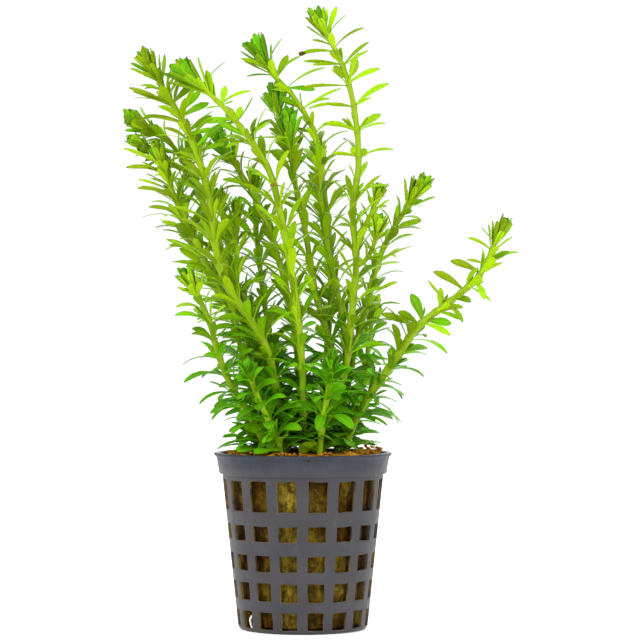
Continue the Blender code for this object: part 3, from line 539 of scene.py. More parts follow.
def stained_material(settings):
    """The cut edges of the slots, stained ochre by the wool behind them."""
    made, tree, shader, place = new_material("ochre stained slot edge")
    patch = speckle(tree, place, 260.0, 4.0, 0.65)
    colour = mixed(tree, ranged(tree, patch, 0.3, 0.65), settings.colour, settings.stain)
    fill(tree, shader, Base_Color=colour, Roughness=0.6)
    bumped(tree, shader, patch, 0.1 * MM, 0.4)
    return made


def wool_material(settings):
    """Damp mineral wool: matted fibres, one pale strip at the front left of the middle, brown elsewhere, and
    near black in the fibres' low parts as painted shade in the folds, partly wet wool.
    """
    made, tree, shader, place = new_material("damp rock wool")
    patch = speckle(tree, place, 75.0, 3.0, 0.6, (1.0, 1.0, 0.7))
    fibre = speckle(tree, place, 800.0, 6.0, 0.7, (1.0, 1.0, 0.3))
    grain = speckle(tree, place, 420.0, 6.0, 0.75)
    strands = reckoned(tree, "MULTIPLY", reckoned(tree, "ADD", fibre, grain), 0.5)
    axes = add(tree, "ShaderNodeSeparateXYZ", Vector=place)
    aside = reckoned(tree, "ABSOLUTE", reckoned(tree, "ADD", axes.outputs["X"], 4.2 * MM))
    strip = ranged(tree, aside, 2.2 * MM, 4.6 * MM, 1.0, 0.0)
    front = ranged(tree, axes.outputs["Y"], -14.0 * MM, -8.0 * MM, 1.0, 0.0)
    paler = reckoned(tree, "MULTIPLY", strip, front)
    colour = mixed(tree, ranged(tree, patch, 0.45, 0.75), settings.brown, settings.pale)
    colour = mixed(tree, reckoned(tree, "MULTIPLY", paler, 0.8), colour, settings.pale)
    # Painted shade in the folds, partly wet wool: near black where the fibre pattern, which also makes the
    # bump, is low
    colour = mixed(tree, ranged(tree, strands, 0.4, 0.62, 0.85, 0.0), colour, settings.wet_shaded_folds)
    colour = mixed(tree, attribute(tree, "loose", "Fac"), colour, settings.loose)
    fill(tree, shader, Base_Color=colour, Roughness=0.92, Specular_IOR_Level=0.08)
    bumped(tree, shader, strands, 0.5 * MM, 0.9)
    return made


def root_material():
    """A waxy white root with tan patches."""
    made, tree, shader, place = new_material("white root")
    colour = mixed(tree, ranged(tree, speckle(tree, place, 500.0, 3.0), 0.35, 0.7), ROOT_WHITE, ROOT_TAN)
    fill(tree, shader, Base_Color=colour, Roughness=0.4, Subsurface_Weight=0.2,
         Subsurface_Radius=(0.001, 0.0008, 0.0006))
    return made


def stem_material(settings):
    """Bright yellow-green stem with fine ribs, its nodes darker and touched with red-brown."""
    made, tree, shader, place = new_material("fresh rotala stem")
    grown = add(tree, "ShaderNodeSeparateXYZ", Vector=attribute(tree, "growth", "Vector"))
    at_node, tone, age = (grown.outputs[axis] for axis in "XYZ")
    streak = speckle(tree, place, 1600.0, 3.0, 0.6, (1.0, 1.0, 0.12))
    patch = speckle(tree, place, 170.0, 3.0, 0.6)
    colour = mixed(tree, ranged(tree, streak, 0.35, 0.7, 0.0, 0.5), settings.colour, STEM_STREAK)
    colour = mixed(tree, reckoned(tree, "MULTIPLY", at_node, 0.55), colour, settings.node_colour)
    blush = reckoned(tree, "MULTIPLY", at_node, ranged(tree, patch, 0.58, 0.74))
    colour = mixed(tree, blush, colour, STEM_BLUSH)
    colour = mixed(tree, reckoned(tree, "MULTIPLY", age, 0.35), colour, OLD_STEM)
    fill(tree, shader, Base_Color=shaded(tree, colour, tone, 0.08), Roughness=0.4,
         Specular_IOR_Level=PLANT_GLOSS, Subsurface_Weight=0.25, Subsurface_Radius=(0.0006, 0.0009, 0.0002))
    bumped(tree, shader, streak, 0.12 * MM, 0.5)
    return made


def leaf_material(name, settings, roughness, inner, margin, midrib):
    """A thin leaf that lets light through: pale foot and margin, the upper face towards the old colour as
    partly its own darker side and partly painted shade, darker blunt tip.
    """
    made, tree, shader, place = new_material(name)
    grown = add(tree, "ShaderNodeSeparateXYZ", Vector=attribute(tree, "growth", "Vector"))
    along, tone, age = (grown.outputs[axis] for axis in "XYZ")
    side = attribute(tree, "across", "Fac")
    upper = reckoned(tree, "GREATER_THAN", side, 0.0)
    across = reckoned(tree, "ABSOLUTE", side)
    mottle = speckle(tree, place, 1400.0, 4.0, 0.6)
    colour = mixed(tree, ranged(tree, age, 0.0, 1.0), settings.young, settings.old)
    shade = [0.6 * share for share in settings.old]
    colour = mixed(tree, ranged(tree, mottle, 0.35, 0.7, 0.0, 0.3), colour, shade)
    colour = mixed(tree, ranged(tree, along, 0.0, 0.35, 0.55, 0.0), colour, LEAF_FOOT)
    colour = mixed(tree, ranged(tree, across, 0.05, 0.5, 0.4, 0.0), colour, midrib)
    # The upper face darker: partly the leaf's own darker upper side, partly painted shade; the share is the
    # inner argument
    colour = mixed(tree, reckoned(tree, "MULTIPLY", upper, inner), colour, settings.old)
    colour = mixed(tree, ranged(tree, across, 0.7, 1.0, 0.0, margin), colour, LEAF_MARGIN)
    colour = mixed(tree, ranged(tree, along, 0.93, 1.0, 0.0, 0.75), colour, settings.tip)
    colour = mixed(tree, ranged(tree, age, 1.1, 1.9), colour, LEAF_BROWN)
    colour = shaded(tree, colour, tone, 0.28)
    dull = ranged(tree, mottle, 0.3, 0.7, roughness, roughness + 0.15)
    fill(tree, shader, Base_Color=colour, Roughness=dull, Specular_IOR_Level=PLANT_GLOSS)
    bumped(tree, shader, mottle, 0.06 * MM, 0.4)
    glow = add(tree, "ShaderNodeHueSaturation", Color=colour, Saturation=1.1, Value=1.35)
    through = add(tree, "ShaderNodeBsdfTranslucent", Color=glow.outputs[0])
    both = tree.nodes.new("ShaderNodeMixShader")
    for socket, value in zip(both.inputs, (0.38, shader.outputs[0], through.outputs[0])):
        put(tree, socket, value)
    fill(tree, tree.nodes["Material Output"], Surface=both.outputs[0])
    return made


def finish_mesh(name, bm, materials, smooth_angle=35.0):
    """A shaded piece at the origin from a bmesh, riding on the root body."""
    mesh = bpy.data.meshes.new(name)
    bm.to_mesh(mesh)
    bm.free()
    for finish in materials:
        mesh.materials.append(finish)
    mesh.shade_smooth()
    if smooth_angle < 180.0:
        mesh.set_sharp_from_angle(angle=math.radians(smooth_angle))
    made = bpy.data.objects.new(name, mesh)
    bpy.context.scene.collection.objects.link(made)
    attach(made, "root")
    return made


def turned(bm, profile, steps):
    """A profile of (radius, height) points in millimetres, turned once around Z."""
    points = [bm.verts.new((radius * MM, 0.0, height * MM)) for radius, height in profile]
    edges = [bm.edges.new(pair) for pair in zip(points, points[1:])]
    bmesh.ops.spin(
        bm, geom=points + edges, cent=(0.0, 0.0, 0.0), axis=UP, angle=TURN, steps=steps, use_merge=True)
    bmesh.ops.remove_doubles(bm, verts=bm.verts, dist=0.001 * MM)
    bmesh.ops.recalc_face_normals(bm, faces=bm.faces)


def around(right, back, angle):
    """The direction at an angle round a stem."""
    return right * math.cos(angle) + back * math.sin(angle)


def put_tube(bm, sides, rows, place):
    """Adds a closed tube, its points placed by their row and the angle round it, and gives its faces."""
    made = bmesh.ops.create_grid(bm, x_segments=sides, y_segments=rows - 1, size=0.5)["verts"]
    for point in made:
        row = round((point.co.y + 0.5) * (rows - 1))
        place(point, row, TURN * round((point.co.x + 0.5) * sides) / sides)
    bmesh.ops.remove_doubles(bm, verts=made, dist=WELD)
    bmesh.ops.holes_fill(bm, edges=[edge for edge in bm.edges if edge.is_boundary], sides=0)
    return {face for point in made if point.is_valid for face in point.link_faces}


def wall_radius(height):
    """Outer radius of the pot's tapering wall, in millimetres."""
    return WALL_FOOT_RADIUS + (WALL_TOP_RADIUS - WALL_FOOT_RADIUS) * height / WALL_TOP


def pot_profile(settings):
    """The pot from the middle of its underside up the outside, over the lip and down the inside."""
    wall, lip, mouth = (size / MM for size in (settings.wall, settings.lip_radius, settings.mouth_radius))
    levels = [height for row in SLOT_ROWS for height in (row[0], 0.5 * (row[0] + row[1]), row[1])]
    outer = [(wall_radius(height), height) for height in levels]
    inner = [(radius - wall, height) for radius, height in reversed(outer)]
    foot = [(0.0, 0.0), (FLOOR_SLOT[0], 0.0), (FLOOR_SLOT[1], 0.0), (16.6, 0.0), (17.3, 0.12), (17.9, 0.5)]
    band = [(22.65, 43.55), (23.4, 43.6), (23.6, 43.85), (23.95, 46.2), (24.25, 48.0)]
    rim = [(24.5, 48.4), (lip - 0.1, 48.75), (lip, 49.1), (lip - 0.08, 49.38), (lip - 0.35, 49.5)]
    rim += [(mouth + 0.3, 49.5), (mouth, 49.3), (22.9, 45.0), (22.0, 43.6)]
    floor = [(radius, FLOOR_TOP) for radius in (16.0, FLOOR_SLOT[1], FLOOR_SLOT[0], 0.0)]
    return foot + outer + band + rim + inner + floor


def spread_columns(bm):
    """Turns the evenly spaced steps so that a slot's steps span its angle and a rib's the rest."""
    axis_radius = 0.5 * MM
    rib_angle = COLUMN_ANGLE - SLOT_ANGLE
    for point in bm.verts:
        radius = math.hypot(point.co.x, point.co.y)
        if radius < axis_radius:
            continue
        step = round(math.atan2(point.co.y, point.co.x) / (COLUMN_ANGLE / STEPS_PER_COLUMN))
        place, inside = divmod(step % (COLUMNS * STEPS_PER_COLUMN), STEPS_PER_COLUMN)
        if inside <= SLOT_STEPS:
            angle = inside / SLOT_STEPS * SLOT_ANGLE
        else:
            angle = SLOT_ANGLE + (inside - SLOT_STEPS) / (STEPS_PER_COLUMN - SLOT_STEPS) * rib_angle
        angle += place * COLUMN_ANGLE + 0.5 * rib_angle
        point.co.x = radius * math.cos(angle)
        point.co.y = radius * math.sin(angle)


def open_slots(bm):
    """Takes the outer and inner faces of each slot away and bridges the two openings."""
    slots = {}
    for face in bm.faces:
        middle = face.calc_center_median()
        radius = math.hypot(middle.x, middle.y) / MM
        height = middle.z / MM
        angle = math.atan2(middle.y, middle.x) % TURN
        place, inside = divmod(angle - 0.5 * (COLUMN_ANGLE - SLOT_ANGLE), COLUMN_ANGLE)
        rows = [row for row in SLOT_ROWS if row[0] < height < row[1]]
        if rows and inside < SLOT_ANGLE and radius > SLOT_INSIDE:
            slots.setdefault((place, rows[0]), []).append(face)
        in_floor = FLOOR_SLOT[0] < radius < FLOOR_SLOT[1] and height < 1.5 * FLOOR_TOP
        if in_floor and inside < SLOT_ANGLE and place % 2:
            slots.setdefault((place, "floor"), []).append(face)
    for faces in slots.values():
        rims = [edge for edge in {e for face in faces for e in face.edges}
                if sum(linked in faces for linked in edge.link_faces) == 1]
        bmesh.ops.delete(bm, geom=faces, context="FACES")
        rims = [edge for edge in rims if edge.is_valid]
        for face in bmesh.ops.bridge_loops(bm, edges=rims)["faces"]:
            face.material_index = 1


def make_uneven(bm):
    """Shifts the wall's points within the wall, which leaves it smooth and the slots' edges uneven."""
    sample_radius, foot_top, wall_end, lip_foot = 15.0 * MM, 0.8 * MM, 43.0 * MM, 48.2 * MM
    taper = (WALL_TOP_RADIUS - WALL_FOOT_RADIUS) / WALL_TOP
    for point in bm.verts:
        radius = math.hypot(point.co.x, point.co.y)
        if radius < sample_radius or point.co.z < foot_top:
            continue
        place = point.co * (sample_radius / radius)
        place.z = point.co.z
        if point.co.z < wall_end:
            rise = noise.noise(place * WALL_CELLS) * WALL_SHIFT
            twist = noise.noise(place * WALL_CELLS + Vector((5.0, 1.0, 9.0))) * WALL_TWIST / radius
            grow = 1.0 + rise * taper / radius
            raised = Vector((point.co.x * grow, point.co.y * grow, point.co.z + rise))
            point.co = Matrix.Rotation(twist, 3, "Z") @ raised
        elif point.co.z > lip_foot:
            swing = noise.noise(place * LIP_CELLS) * LIP_SWING
            point.co += Vector((point.co.x, point.co.y, 0.0)) * (swing / radius) - UP * (0.8 * abs(swing))


def make_net_pot(settings):
    """The moulded net pot, its slots cut clean through and their edges rounded."""
    bm = bmesh.new()
    turned(bm, pot_profile(settings), COLUMNS * STEPS_PER_COLUMN)
    spread_columns(bm)
    open_slots(bm)
    make_uneven(bm)
    bmesh.ops.recalc_face_normals(bm, faces=bm.faces)
    pot = finish_mesh("net_pot_moulding", bm, [plastic_material(settings), stained_material(settings)])
    rounded = pot.modifiers.new("rounded edges", "BEVEL")
    rounded.width = settings.edge
    rounded.segments = 2
    rounded.limit_method = "ANGLE"
    rounded.angle_limit = math.radians(50.0)
    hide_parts("net_pot")


def wool_surface(place, settings):
    """How far a point of the wool's skin stands in from a smooth plug: folds, lumps and fibres."""
    fold = noise.noise(Vector((place.x * 260.0, place.y * 260.0, place.z * 90.0)))
    lump = noise.noise(Vector((place.x * 150.0, place.y * 150.0, place.z * 190.0)) + Vector((7.0, 3.0, 1.0)))
    fibre = noise.noise(place * 1300.0)
    return settings.lumps * (0.9 * abs(fold) + 0.7 * max(lump, 0.0) + 0.22 * fibre)


def wool_profile(settings):
    """Half the plug's section, from the middle of its foot over the edge to the middle of its top."""
    inset = 1.0 + settings.clearance / MM
    heights = [WOOL_FOOT + number for number in range(WOOL_SIDE_RINGS)]
    side = [(wall_radius(height) - inset, height) for height in heights]
    radius, height = WOOL_TOP_EDGE
    top = [(radius - 0.8 * ring, height + 0.9 * math.sin(0.5 * math.pi * ring / (WOOL_TOP_RINGS - 1)))
           for ring in range(WOOL_TOP_RINGS)]
    return [(0.0, WOOL_FOOT), *side, *WOOL_SHOULDER, *top, (0.0, height + 0.9)]


def scatter_crumbs(bm, loose):
    """Crumbs and tufts of loose wool along the front and the right of the plug's top."""
    rng = random.Random(5)
    for number in range(CRUMBS):
        angle = math.radians(rng.uniform(*CRUMB_SECTORS[number % len(CRUMB_SECTORS)]))
        away = rng.uniform(*(CRUMB_RING if number % 3 else CRUMB_LIP_RING))
        size = rng.uniform(*CRUMB_RADIUS) * MM
        centre = Vector((away * math.cos(angle), away * math.sin(angle), rng.uniform(*CRUMB_HEIGHT))) * MM
        if math.hypot(centre.x / MM - CRUMB_HEAP[0], centre.y / MM - CRUMB_HEAP[1]) < HEAP_RADIUS:
            centre.z += rng.uniform(*HEAP_LIFT) * MM
        stretch = Vector((rng.uniform(0.7, 1.6), rng.uniform(0.7, 1.6), rng.uniform(0.5, 1.1)))
        shade = rng.uniform(0.55, 1.0)
        for point in bmesh.ops.create_icosphere(bm, subdivisions=2, radius=size)["verts"]:
            rough = 1.0 + 0.9 * noise.noise(point.co * 3200.0 + centre * 900.0)
            point.co = centre + point.co * stretch * rough
            point[loose] = shade


def white_root(bm):
    """A white root and a clot of brown wool in the lowest slot on the left."""
    path = smooth_path([Vector(point) * MM for point in ROOT_ROUTE])

    def place(point, row, angle):
        ahead = (path[min(row + 1, len(path) - 1)] - path[max(row - 1, 0)]).normalized()
        right = ahead.cross(Vector((0.2, 1.0, 0.1))).normalized()
        radius = (ROOT_RADIUS + 0.06 * noise.noise(path[row] * 1500.0)) * MM
        point.co = path[row] + around(right, ahead.cross(right), angle) * radius

    for face in put_tube(bm, ROOT_SIDES, len(path), place):
        face.material_index = 1
    for point in bmesh.ops.create_icosphere(bm, subdivisions=3, radius=CLOT_RADIUS)["verts"]:
        point.co *= 1.0 + 0.35 * noise.noise(point.co * 1400.0)
        point.co += CLOT_PLACE


def make_rock_wool(settings):
    """The matted plug: its side shows through the slots and its top is a low, rough dome."""
    smooth_foot, top_from = 2.0 * MM, 48.0 * MM
    bm = bmesh.new()
    loose = bm.verts.layers.float.new("loose")
    turned(bm, wool_profile(settings), WOOL_STEPS)
    bm.normal_update()
    for point in bm.verts:
        if point.co.z < smooth_foot:
            continue
        rough = wool_surface(point.co, settings)
        if point.co.z > top_from:
            point.co += point.normal * (0.5 * rough - 0.3 * MM)
            for x, y, radius, height, share in MOUNDS:
                away = math.hypot(point.co.x - x * MM, point.co.y - y * MM) / (radius * MM)
                raised = math.exp(-away * away)
                point.co.z += height * MM * raised * (0.8 + 0.4 * noise.noise(point.co * 900.0))
                point[loose] = max(point[loose], min(1.0, 1.3 * raised) * share)
            point[loose] = max(point[loose], 0.4 + 0.5 * noise.noise(point.co * 500.0))
        else:
            point.co -= point.normal * rough
    scatter_crumbs(bm, loose)
    white_root(bm)
    wool = finish_mesh("rock_wool_plug", bm, [wool_material(settings), root_material()], 180.0)
    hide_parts("rock_wool")


def smooth_path(points):
    """A Catmull-Rom curve through the points."""
    ends = [2 * points[0] - points[1], *points, 2 * points[-1] - points[-2]]
    curve = [points[0]]
    for a, b, c, d in zip(ends, ends[1:], ends[2:], ends[3:]):
        for number in range(1, 9):
            t = number / 8
            curve.append(0.5 * (2 * b + (c - a) * t + (2 * a - 5 * b + 4 * c - d) * t**2
                                + (3 * b - a - 3 * c + d) * t**3))
    return curve


def limited(value):
    """The value kept from 0 to 1."""
    return min(1.0, max(0.0, value))


class Shoot:
    """One stem: its smooth route, its nodes from the tip down and its directions at any point."""

    def __init__(self, number, row, settings, shoots):
        (self.name, self.parent, radius, longest, self.leaf_scale, self.age,
         self.tuft, self.tuft_age, points) = row
        self.random = random.Random(100 + number)
        self.radius = settings.slimness * radius * MM
        self.tip_radius = settings.tip_radius
        self.longest = longest * MM
        route = [Vector(point) * MM for point in points]
        if self.parent:
            route.insert(0, shoots[self.parent].nearest(route[0] - UP * SIDE_ROOTING))
        else:
            route.insert(0, route[0] - UP * WOOL_ROOTING)
        self.path = smooth_path(route)
        self.along = [0.0]
        for low, high in zip(self.path, self.path[1:]):
            self.along.append(self.along[-1] + (high - low).length)
        self.length = self.along[-1]
        self.tone = self.random.uniform(-1.0, 1.0)

    def nearest(self, place):
        return min(self.path, key=lambda point: (point - place).length)

    def at(self, distance):
        """The point at a distance from the base, and the directions right, back and up the stem."""
        distance = min(max(distance, 0.0), self.length)
        number = next((n for n, far in enumerate(self.along) if n and far >= distance), len(self.along) - 1)
        low, high = self.path[number - 1], self.path[number]
        share = (distance - self.along[number - 1]) / (self.along[number] - self.along[number - 1])
        up = (high - low).normalized()
        right = Vector((0.0, 1.0, 0.0)).cross(up).normalized()
        return low.lerp(high, share), right, up.cross(right), up

    def reach(self, height):
        """The distance from the base at which the stem comes up to a height."""
        for low, high, start, end in zip(self.path, self.path[1:], self.along, self.along[1:]):
            if low.z <= height <= high.z:
                return start + (end - start) * (height - low.z) / (high.z - low.z)
        return self.length

    def thickness(self, distance):
        """The stem's radius, which tapers over its upper half."""
        share = min(1.0, 2.0 * max(0.0, self.length - distance) / self.length)
        return self.tip_radius + (self.radius - self.tip_radius) * math.sqrt(share)

    def leaf(self, distance, inset, azimuth, **shape):
        """A leaf that starts in the stem's skin at a distance, facing an angle round it."""
        centre, right, back, up = self.at(distance)
        out = around(right, back, azimuth)
        return Blade(centre + out * inset, out, up, **shape)

    def nodes(self):
        """Distances of the nodes from the base, the tip's first, each internode a little unlike the next."""
        found = [self.length]
        while True:
            step = min(FIRST_INTERNODE + INTERNODE_GROWTH * (len(found) - 1), self.longest)
            below = found[-1] - step * self.random.uniform(0.9, 1.1)
            if below < FOOT or self.at(below)[0].z < LOWEST_NODE:
                return found
            found.append(below)


def add_layers(bm):
    """The values that the plant's materials read at each point."""
    return bm.verts.layers.float_vector.new("growth"), bm.verts.layers.float.new("across")


def blade_pattern(name, material_index):
    """A flat closed blade as a mesh, with a face above and below for each column and station."""
    bm = bmesh.new()
    add_layers(bm)
    bmesh.ops.create_grid(bm, x_segments=BLADE_COLUMNS, y_segments=len(STATIONS) - 1, size=0.5)
    bmesh.ops.solidify(bm, geom=bm.faces, thickness=0.1)
    bmesh.ops.recalc_face_normals(bm, faces=bm.faces)
    heights = [point.co.z for point in bm.verts]
    middle = 0.5 * (min(heights) + max(heights))
    for point in bm.verts:
        point.co.z = 1.0 if point.co.z > middle else -1.0
    for face in bm.faces:
        face.material_index = material_index
    mesh = bpy.data.meshes.new(name)
    bm.to_mesh(mesh)
    bm.free()
    return mesh


@dataclass
class Blade:
    """One leaf's shape: where it starts, how it rises, bends, rolls and widens."""

    base: Vector
    out: Vector
    up: Vector
    length: float
    width: float
    rise: float
    bend: float
    thickness: float
    roll: float = 0.0
    twist: float = 0.0
    droop: float = 0.0
    stalk: float = 0.24
    widest: float = 0.64
    blunt: float = 0.2
    roundness: float = 0.8
    cup: float = 0.25

    def half_width(self, share):
        """Half the width at a share of the length: a narrow foot, a broad upper part, a blunt tip."""
        if share < self.widest:
            part = share / self.widest
            full = self.stalk + (1.0 - self.stalk) * part * part * (3.0 - 2.0 * part)
        else:
            part = (share - self.widest) / (1.0 - self.widest)
            full = self.blunt + (1.0 - self.blunt) * (1.0 - part**2) ** self.roundness
        return 0.5 * self.width * full

    def heading(self, share):
        """The way the midrib runs at a share of the length, which turns over as the leaf arches."""
        angle = self.rise - self.bend * share**1.15
        return self.out * math.cos(angle) + self.up * math.sin(angle)

    def stations(self):
        """At each station: the midrib's point, the way across and the way up out of the blade."""
        steps = 3
        place, last, made = self.base.copy(), 0.0, []
        across = self.up.cross(self.out).normalized()
        for share in STATIONS:
            for number in range(steps):
                part = last + (share - last) * (number + 0.5) / steps
                place = place + self.heading(part) * (self.length * (share - last) / steps)
            heading = self.heading(share)
            side = Matrix.Rotation(self.twist + self.roll * share, 3, heading) @ across
            made.append((place - UP * (self.droop * self.length * share * share), side, heading.cross(side)))
            last = share
        return made

    def tip(self):
        return self.stations()[-1][0]

    def clear_ground(self):
        """Lifts the leaf until it stays above the wool and the lip."""
        while min(station[0].z for station in self.stations()[2:]) < LOWEST_LEAF and self.rise < 1.4:
            self.rise += 0.1

    def over_lip(self):
        """Whether the leaf ends low, near or beyond the pot's lip."""
        tip = self.tip()
        return tip.z < LIP_HEIGHT and math.hypot(tip.x, tip.y) > LIP_REACH

    def outside(self):
        """Whether the leaf's tip comes within a hair of leaving the model's box at a side or the top."""
        return any(
            value < least + TIP_ROOM or value > most - TIP_ROOM
            for axis, (value, least, most) in enumerate(zip(self.tip(), *CAD_BOX))
            if axis < 2 or value > 0.5 * most)


def put_leaves(bm, layers, pattern, leaves):
    """Adds leaves, each a blade bent from the flat pattern with its tone and its age."""
    growth, across = layers
    last = len(STATIONS) - 1
    for blade, tone, age in leaves:
        while blade.outside():
            blade.length *= 0.95
        stations = blade.stations()
        before = len(bm.verts)
        bm.from_mesh(pattern)
        bm.verts.ensure_lookup_table()
        for number in range(before, len(bm.verts)):
            point = bm.verts[number]
            column, face = 2.0 * point.co.x, point.co.z
            row = min(last, max(0, round((point.co.y + 0.5) * last)))
            place, side, normal = stations[row]
            half = blade.half_width(STATIONS[row])
            lift = blade.cup * half * abs(column)
            thin = 0.5 * blade.thickness * (1.0 - 0.55 * abs(column)) * (1.0 - 0.4 * STATIONS[row])
            point.co = place + side * (column * half) + normal * (lift + face * thin)
            point[growth] = (STATIONS[row], tone, age)
            point[across] = face * (0.05 + 0.95 * abs(column))


def put_stem(bm, layers, shoot, nodes, settings):
    """Adds the round stem as a tube with a swelling at every node."""
    growth, across = layers
    marks = {0.0: (1.0, 0.0), shoot.length: (0.9, 0.0)}
    for node in nodes[1:]:
        for offset, swell, ring in ((-2.1, 1.0, 0.0), (-0.9, 1.06, 0.1), (-0.15, settings.swell, 0.8),
                                    (0.35, settings.swell, 1.0), (0.9, 1.04, 0.2), (1.7, 0.96, 0.0)):
            distance = node + offset * MM
            if 0.0 < distance < shoot.length - 0.5 * MM:
                marks[distance] = (swell, ring)
    places = [(distance, *marks[distance]) for distance in sorted(marks)]

    def place(point, row, angle):
        distance, swell, ring = places[row]
        centre, right, back, _ = shoot.at(distance)
        rib = 1.0 + 0.05 * math.cos(2.0 * angle)
        point.co = centre + around(right, back, angle) * (shoot.thickness(distance) * swell * rib)
        point[growth] = (ring, shoot.tone, limited((OLD_STEM_BELOW - centre.z) / OLD_SPAN))
        point[across] = 1.0

    put_tube(bm, settings.sides, len(places), place)


def low_share(height):
    """From 0 well above the pot to 1 near it, where leaves are old, broad and dark."""
    return limited((OLD_BELOW - height) / OLD_SPAN)


def whorl_leaves(shoot, node, number, settings):
    """The leaves of one node, arching out all round."""
    height = shoot.at(node)[0].z
    inset = 0.8 * shoot.thickness(node)
    rng = shoot.random
    depth = shoot.length - node
    grown = min(1.0, 0.42 + depth / GROWN_DEPTH)
    young = max(0.0, 1.0 - depth / YOUNG_DEPTH)
    low = low_share(height)
    count = rng.choice((4, 5, 5)) + round(low) + (shoot.name in FULLER)
    start = math.radians(45.0 * (number % 2)) + rng.uniform(-0.35, 0.35)
    clear = height > CLEAR_ABOVE.get(shoot.name, math.inf) * MM
    leaves = []
    for place in range(count):
        azimuth = start + TURN * place / count + rng.uniform(-0.2, 0.2)
        blade = shoot.leaf(
            node, inset, azimuth, length=settings.length * grown * shoot.leaf_scale * rng.uniform(0.72, 1.15),
            width=(settings.width + (settings.low_width - settings.width) * low) * rng.uniform(0.65, 1.15),
            rise=settings.rise + 0.2 * young - 0.25 * low + rng.uniform(-0.22, 0.22),
            bend=settings.bend * (1.0 - 0.5 * young) * rng.uniform(0.4, 1.4),
            roll=rng.uniform(-0.7, 0.7), droop=0.02 + 0.14 * low + rng.uniform(0.0, 0.05),
            blunt=0.1 + 0.1 * low, cup=rng.uniform(0.05, 0.35),
            thickness=settings.thickness)
        blade.clear_ground()
        age = limited(0.85 * low + shoot.age * 0.6 + 0.12 * grown + rng.uniform(-0.2, 0.3))
        tone = rng.uniform(-1.0, 1.0)
        listed = clear and (abs(math.cos(azimuth)) > 0.45 or math.sin(azimuth) < 0.0 and tone < 0.3)
        if not listed and not (blade.over_lip() and tone < 0.2):
            leaves.append((blade, tone, age))
    return leaves


def base_leaves(shoot, distance, settings):
    """Broad old leaves that lie low around a rooted stem's foot."""
    rng = shoot.random
    count = rng.choice((3, 4))
    start = rng.uniform(0.0, TURN)
    leaves = []
    for place in range(count):
        blade = shoot.leaf(
            distance, 0.8 * shoot.thickness(distance), start + TURN * place / count + rng.uniform(-0.3, 0.3),
            length=settings.length * rng.uniform(0.6, 0.92), width=settings.low_width * rng.uniform(0.8, 1.1),
            rise=math.radians(rng.uniform(15.0, 45.0)),
            bend=math.radians(rng.uniform(20.0, 50.0)), roll=rng.uniform(-0.6, 0.6),
            roundness=0.6, cup=rng.uniform(0.05, 0.3), thickness=settings.thickness)
        blade.clear_ground()
        tone = rng.uniform(-1.0, 1.0)
        age = rng.uniform(0.5, 1.0)
        if not (blade.over_lip() and tone < 0.2):
            leaves.append((blade, tone, age))
    return leaves


def clear_leaves(shoot, settings):
    """The listed leaves of a shoot, from their feet on the stem to their tips."""
    leaves = []
    for height, tip_x, tip_z, width, arch, face, age in CLEAR_LEAVES.get(shoot.name, ()):
        centre = shoot.at(shoot.reach(min(height * MM, shoot.path[-1].z)))[0]
        aside = shoot.random.uniform(-2.5, 2.5) * MM
        tip = Vector((tip_x * MM, centre.y + aside, tip_z * MM))
        out = (tip - centre).normalized()
        lift = UP if abs(out.z) < 0.97 else Vector((-1.0, 0.0, 0.0))
        arch = math.radians(arch)
        blade = Blade(
            centre, out, (lift - out * lift.dot(out)).normalized(),
            length=(tip - centre).length / (1.0 - arch * arch / 24.0), width=1.2 * width * MM,
            rise=arch / 2.15, bend=arch, twist=0.3 + face, roll=shoot.random.uniform(0.0, 0.4),
            stalk=0.3, widest=0.68, blunt=0.15, cup=0.2, thickness=settings.thickness)
        leaves.append((blade, shoot.random.uniform(-1.0, 1.0), age))
        if (shoot.name, tip_x, tip_z) == BROWN_TIP:
            leaves.append((brown_spot(blade), 0.0, WITHERED))
    return leaves


def brown_spot(leaf):
    """The withered end of a leaf: a thicker, shrivelled cap over its tip."""
    *_, before, late, end = leaf.stations()
    foot = before[0].lerp(late[0], 0.4)
    along = end[0] - foot
    return Blade(foot, along.normalized(), late[2], length=1.08 * along.length, width=0.85 * leaf.width,
                 rise=0.0, bend=0.1, twist=0.2, stalk=0.6, widest=0.55, blunt=0.6, cup=0.1,
                 thickness=2.2 * leaf.thickness)


def bud_leaves(shoot, node, settings):
    """The pair of small upright leaves that starts in the axils of a node."""
    axil = node + 0.4 * MM
    age = 0.1 + 0.6 * low_share(shoot.at(axil)[0].z)
    rng = shoot.random
    start = rng.uniform(0.0, math.pi)
    size = rng.uniform(0.28, 0.6)
    leaves = []
    for angle in (start, start + math.pi):
        blade = shoot.leaf(
            axil, 0.8 * shoot.thickness(node), angle, length=settings.length * size,
            width=settings.width * 0.75, rise=math.radians(66.0) + rng.uniform(-0.15, 0.15),
            bend=math.radians(10.0), stalk=0.2, widest=0.72, cup=0.4, thickness=settings.thickness)
        leaves.append((blade, rng.uniform(-1.0, 1.0), age))
    return leaves


def tuft_leaves(shoot, settings):
    """The tight tuft of broad upright leaves at a shoot's tip, outer leaves first, the inner rings painted
    darker as shade.
    """
    rng = shoot.random
    scale = shoot.tuft * MM
    leaves = []
    # A ring's last number is how dark it is painted as shade, carried as the leaf's age
    for ring, (count, drop, rise, bend, length, width, age) in enumerate(TUFT_RINGS):
        for place in range(count):
            blade = shoot.leaf(
                shoot.length - drop * MM, 0.7 * shoot.tip_radius,
                TURN * (place + 0.5 * (ring % 2)) / count + rng.uniform(-0.25, 0.25),
                length=length * scale * rng.uniform(0.82, 1.08),
                width=width * scale * rng.uniform(0.85, 1.15),
                rise=math.radians(rise + rng.uniform(-9.0, 7.0)),
                bend=math.radians(bend + rng.uniform(-5.0, 5.0)), roll=rng.uniform(-0.4, 0.4),
                widest=0.74, blunt=0.25, roundness=0.55, cup=0.5, thickness=settings.thickness)
            # Painted shade: the inner rings and the tufts deep in the bunch are darkened through the leaf's
            # age
            shade = limited(age + shoot.tuft_age + rng.uniform(-0.2, 0.2))
            leaves.append((blade, rng.uniform(-1.0, 1.0), shade))
    return leaves


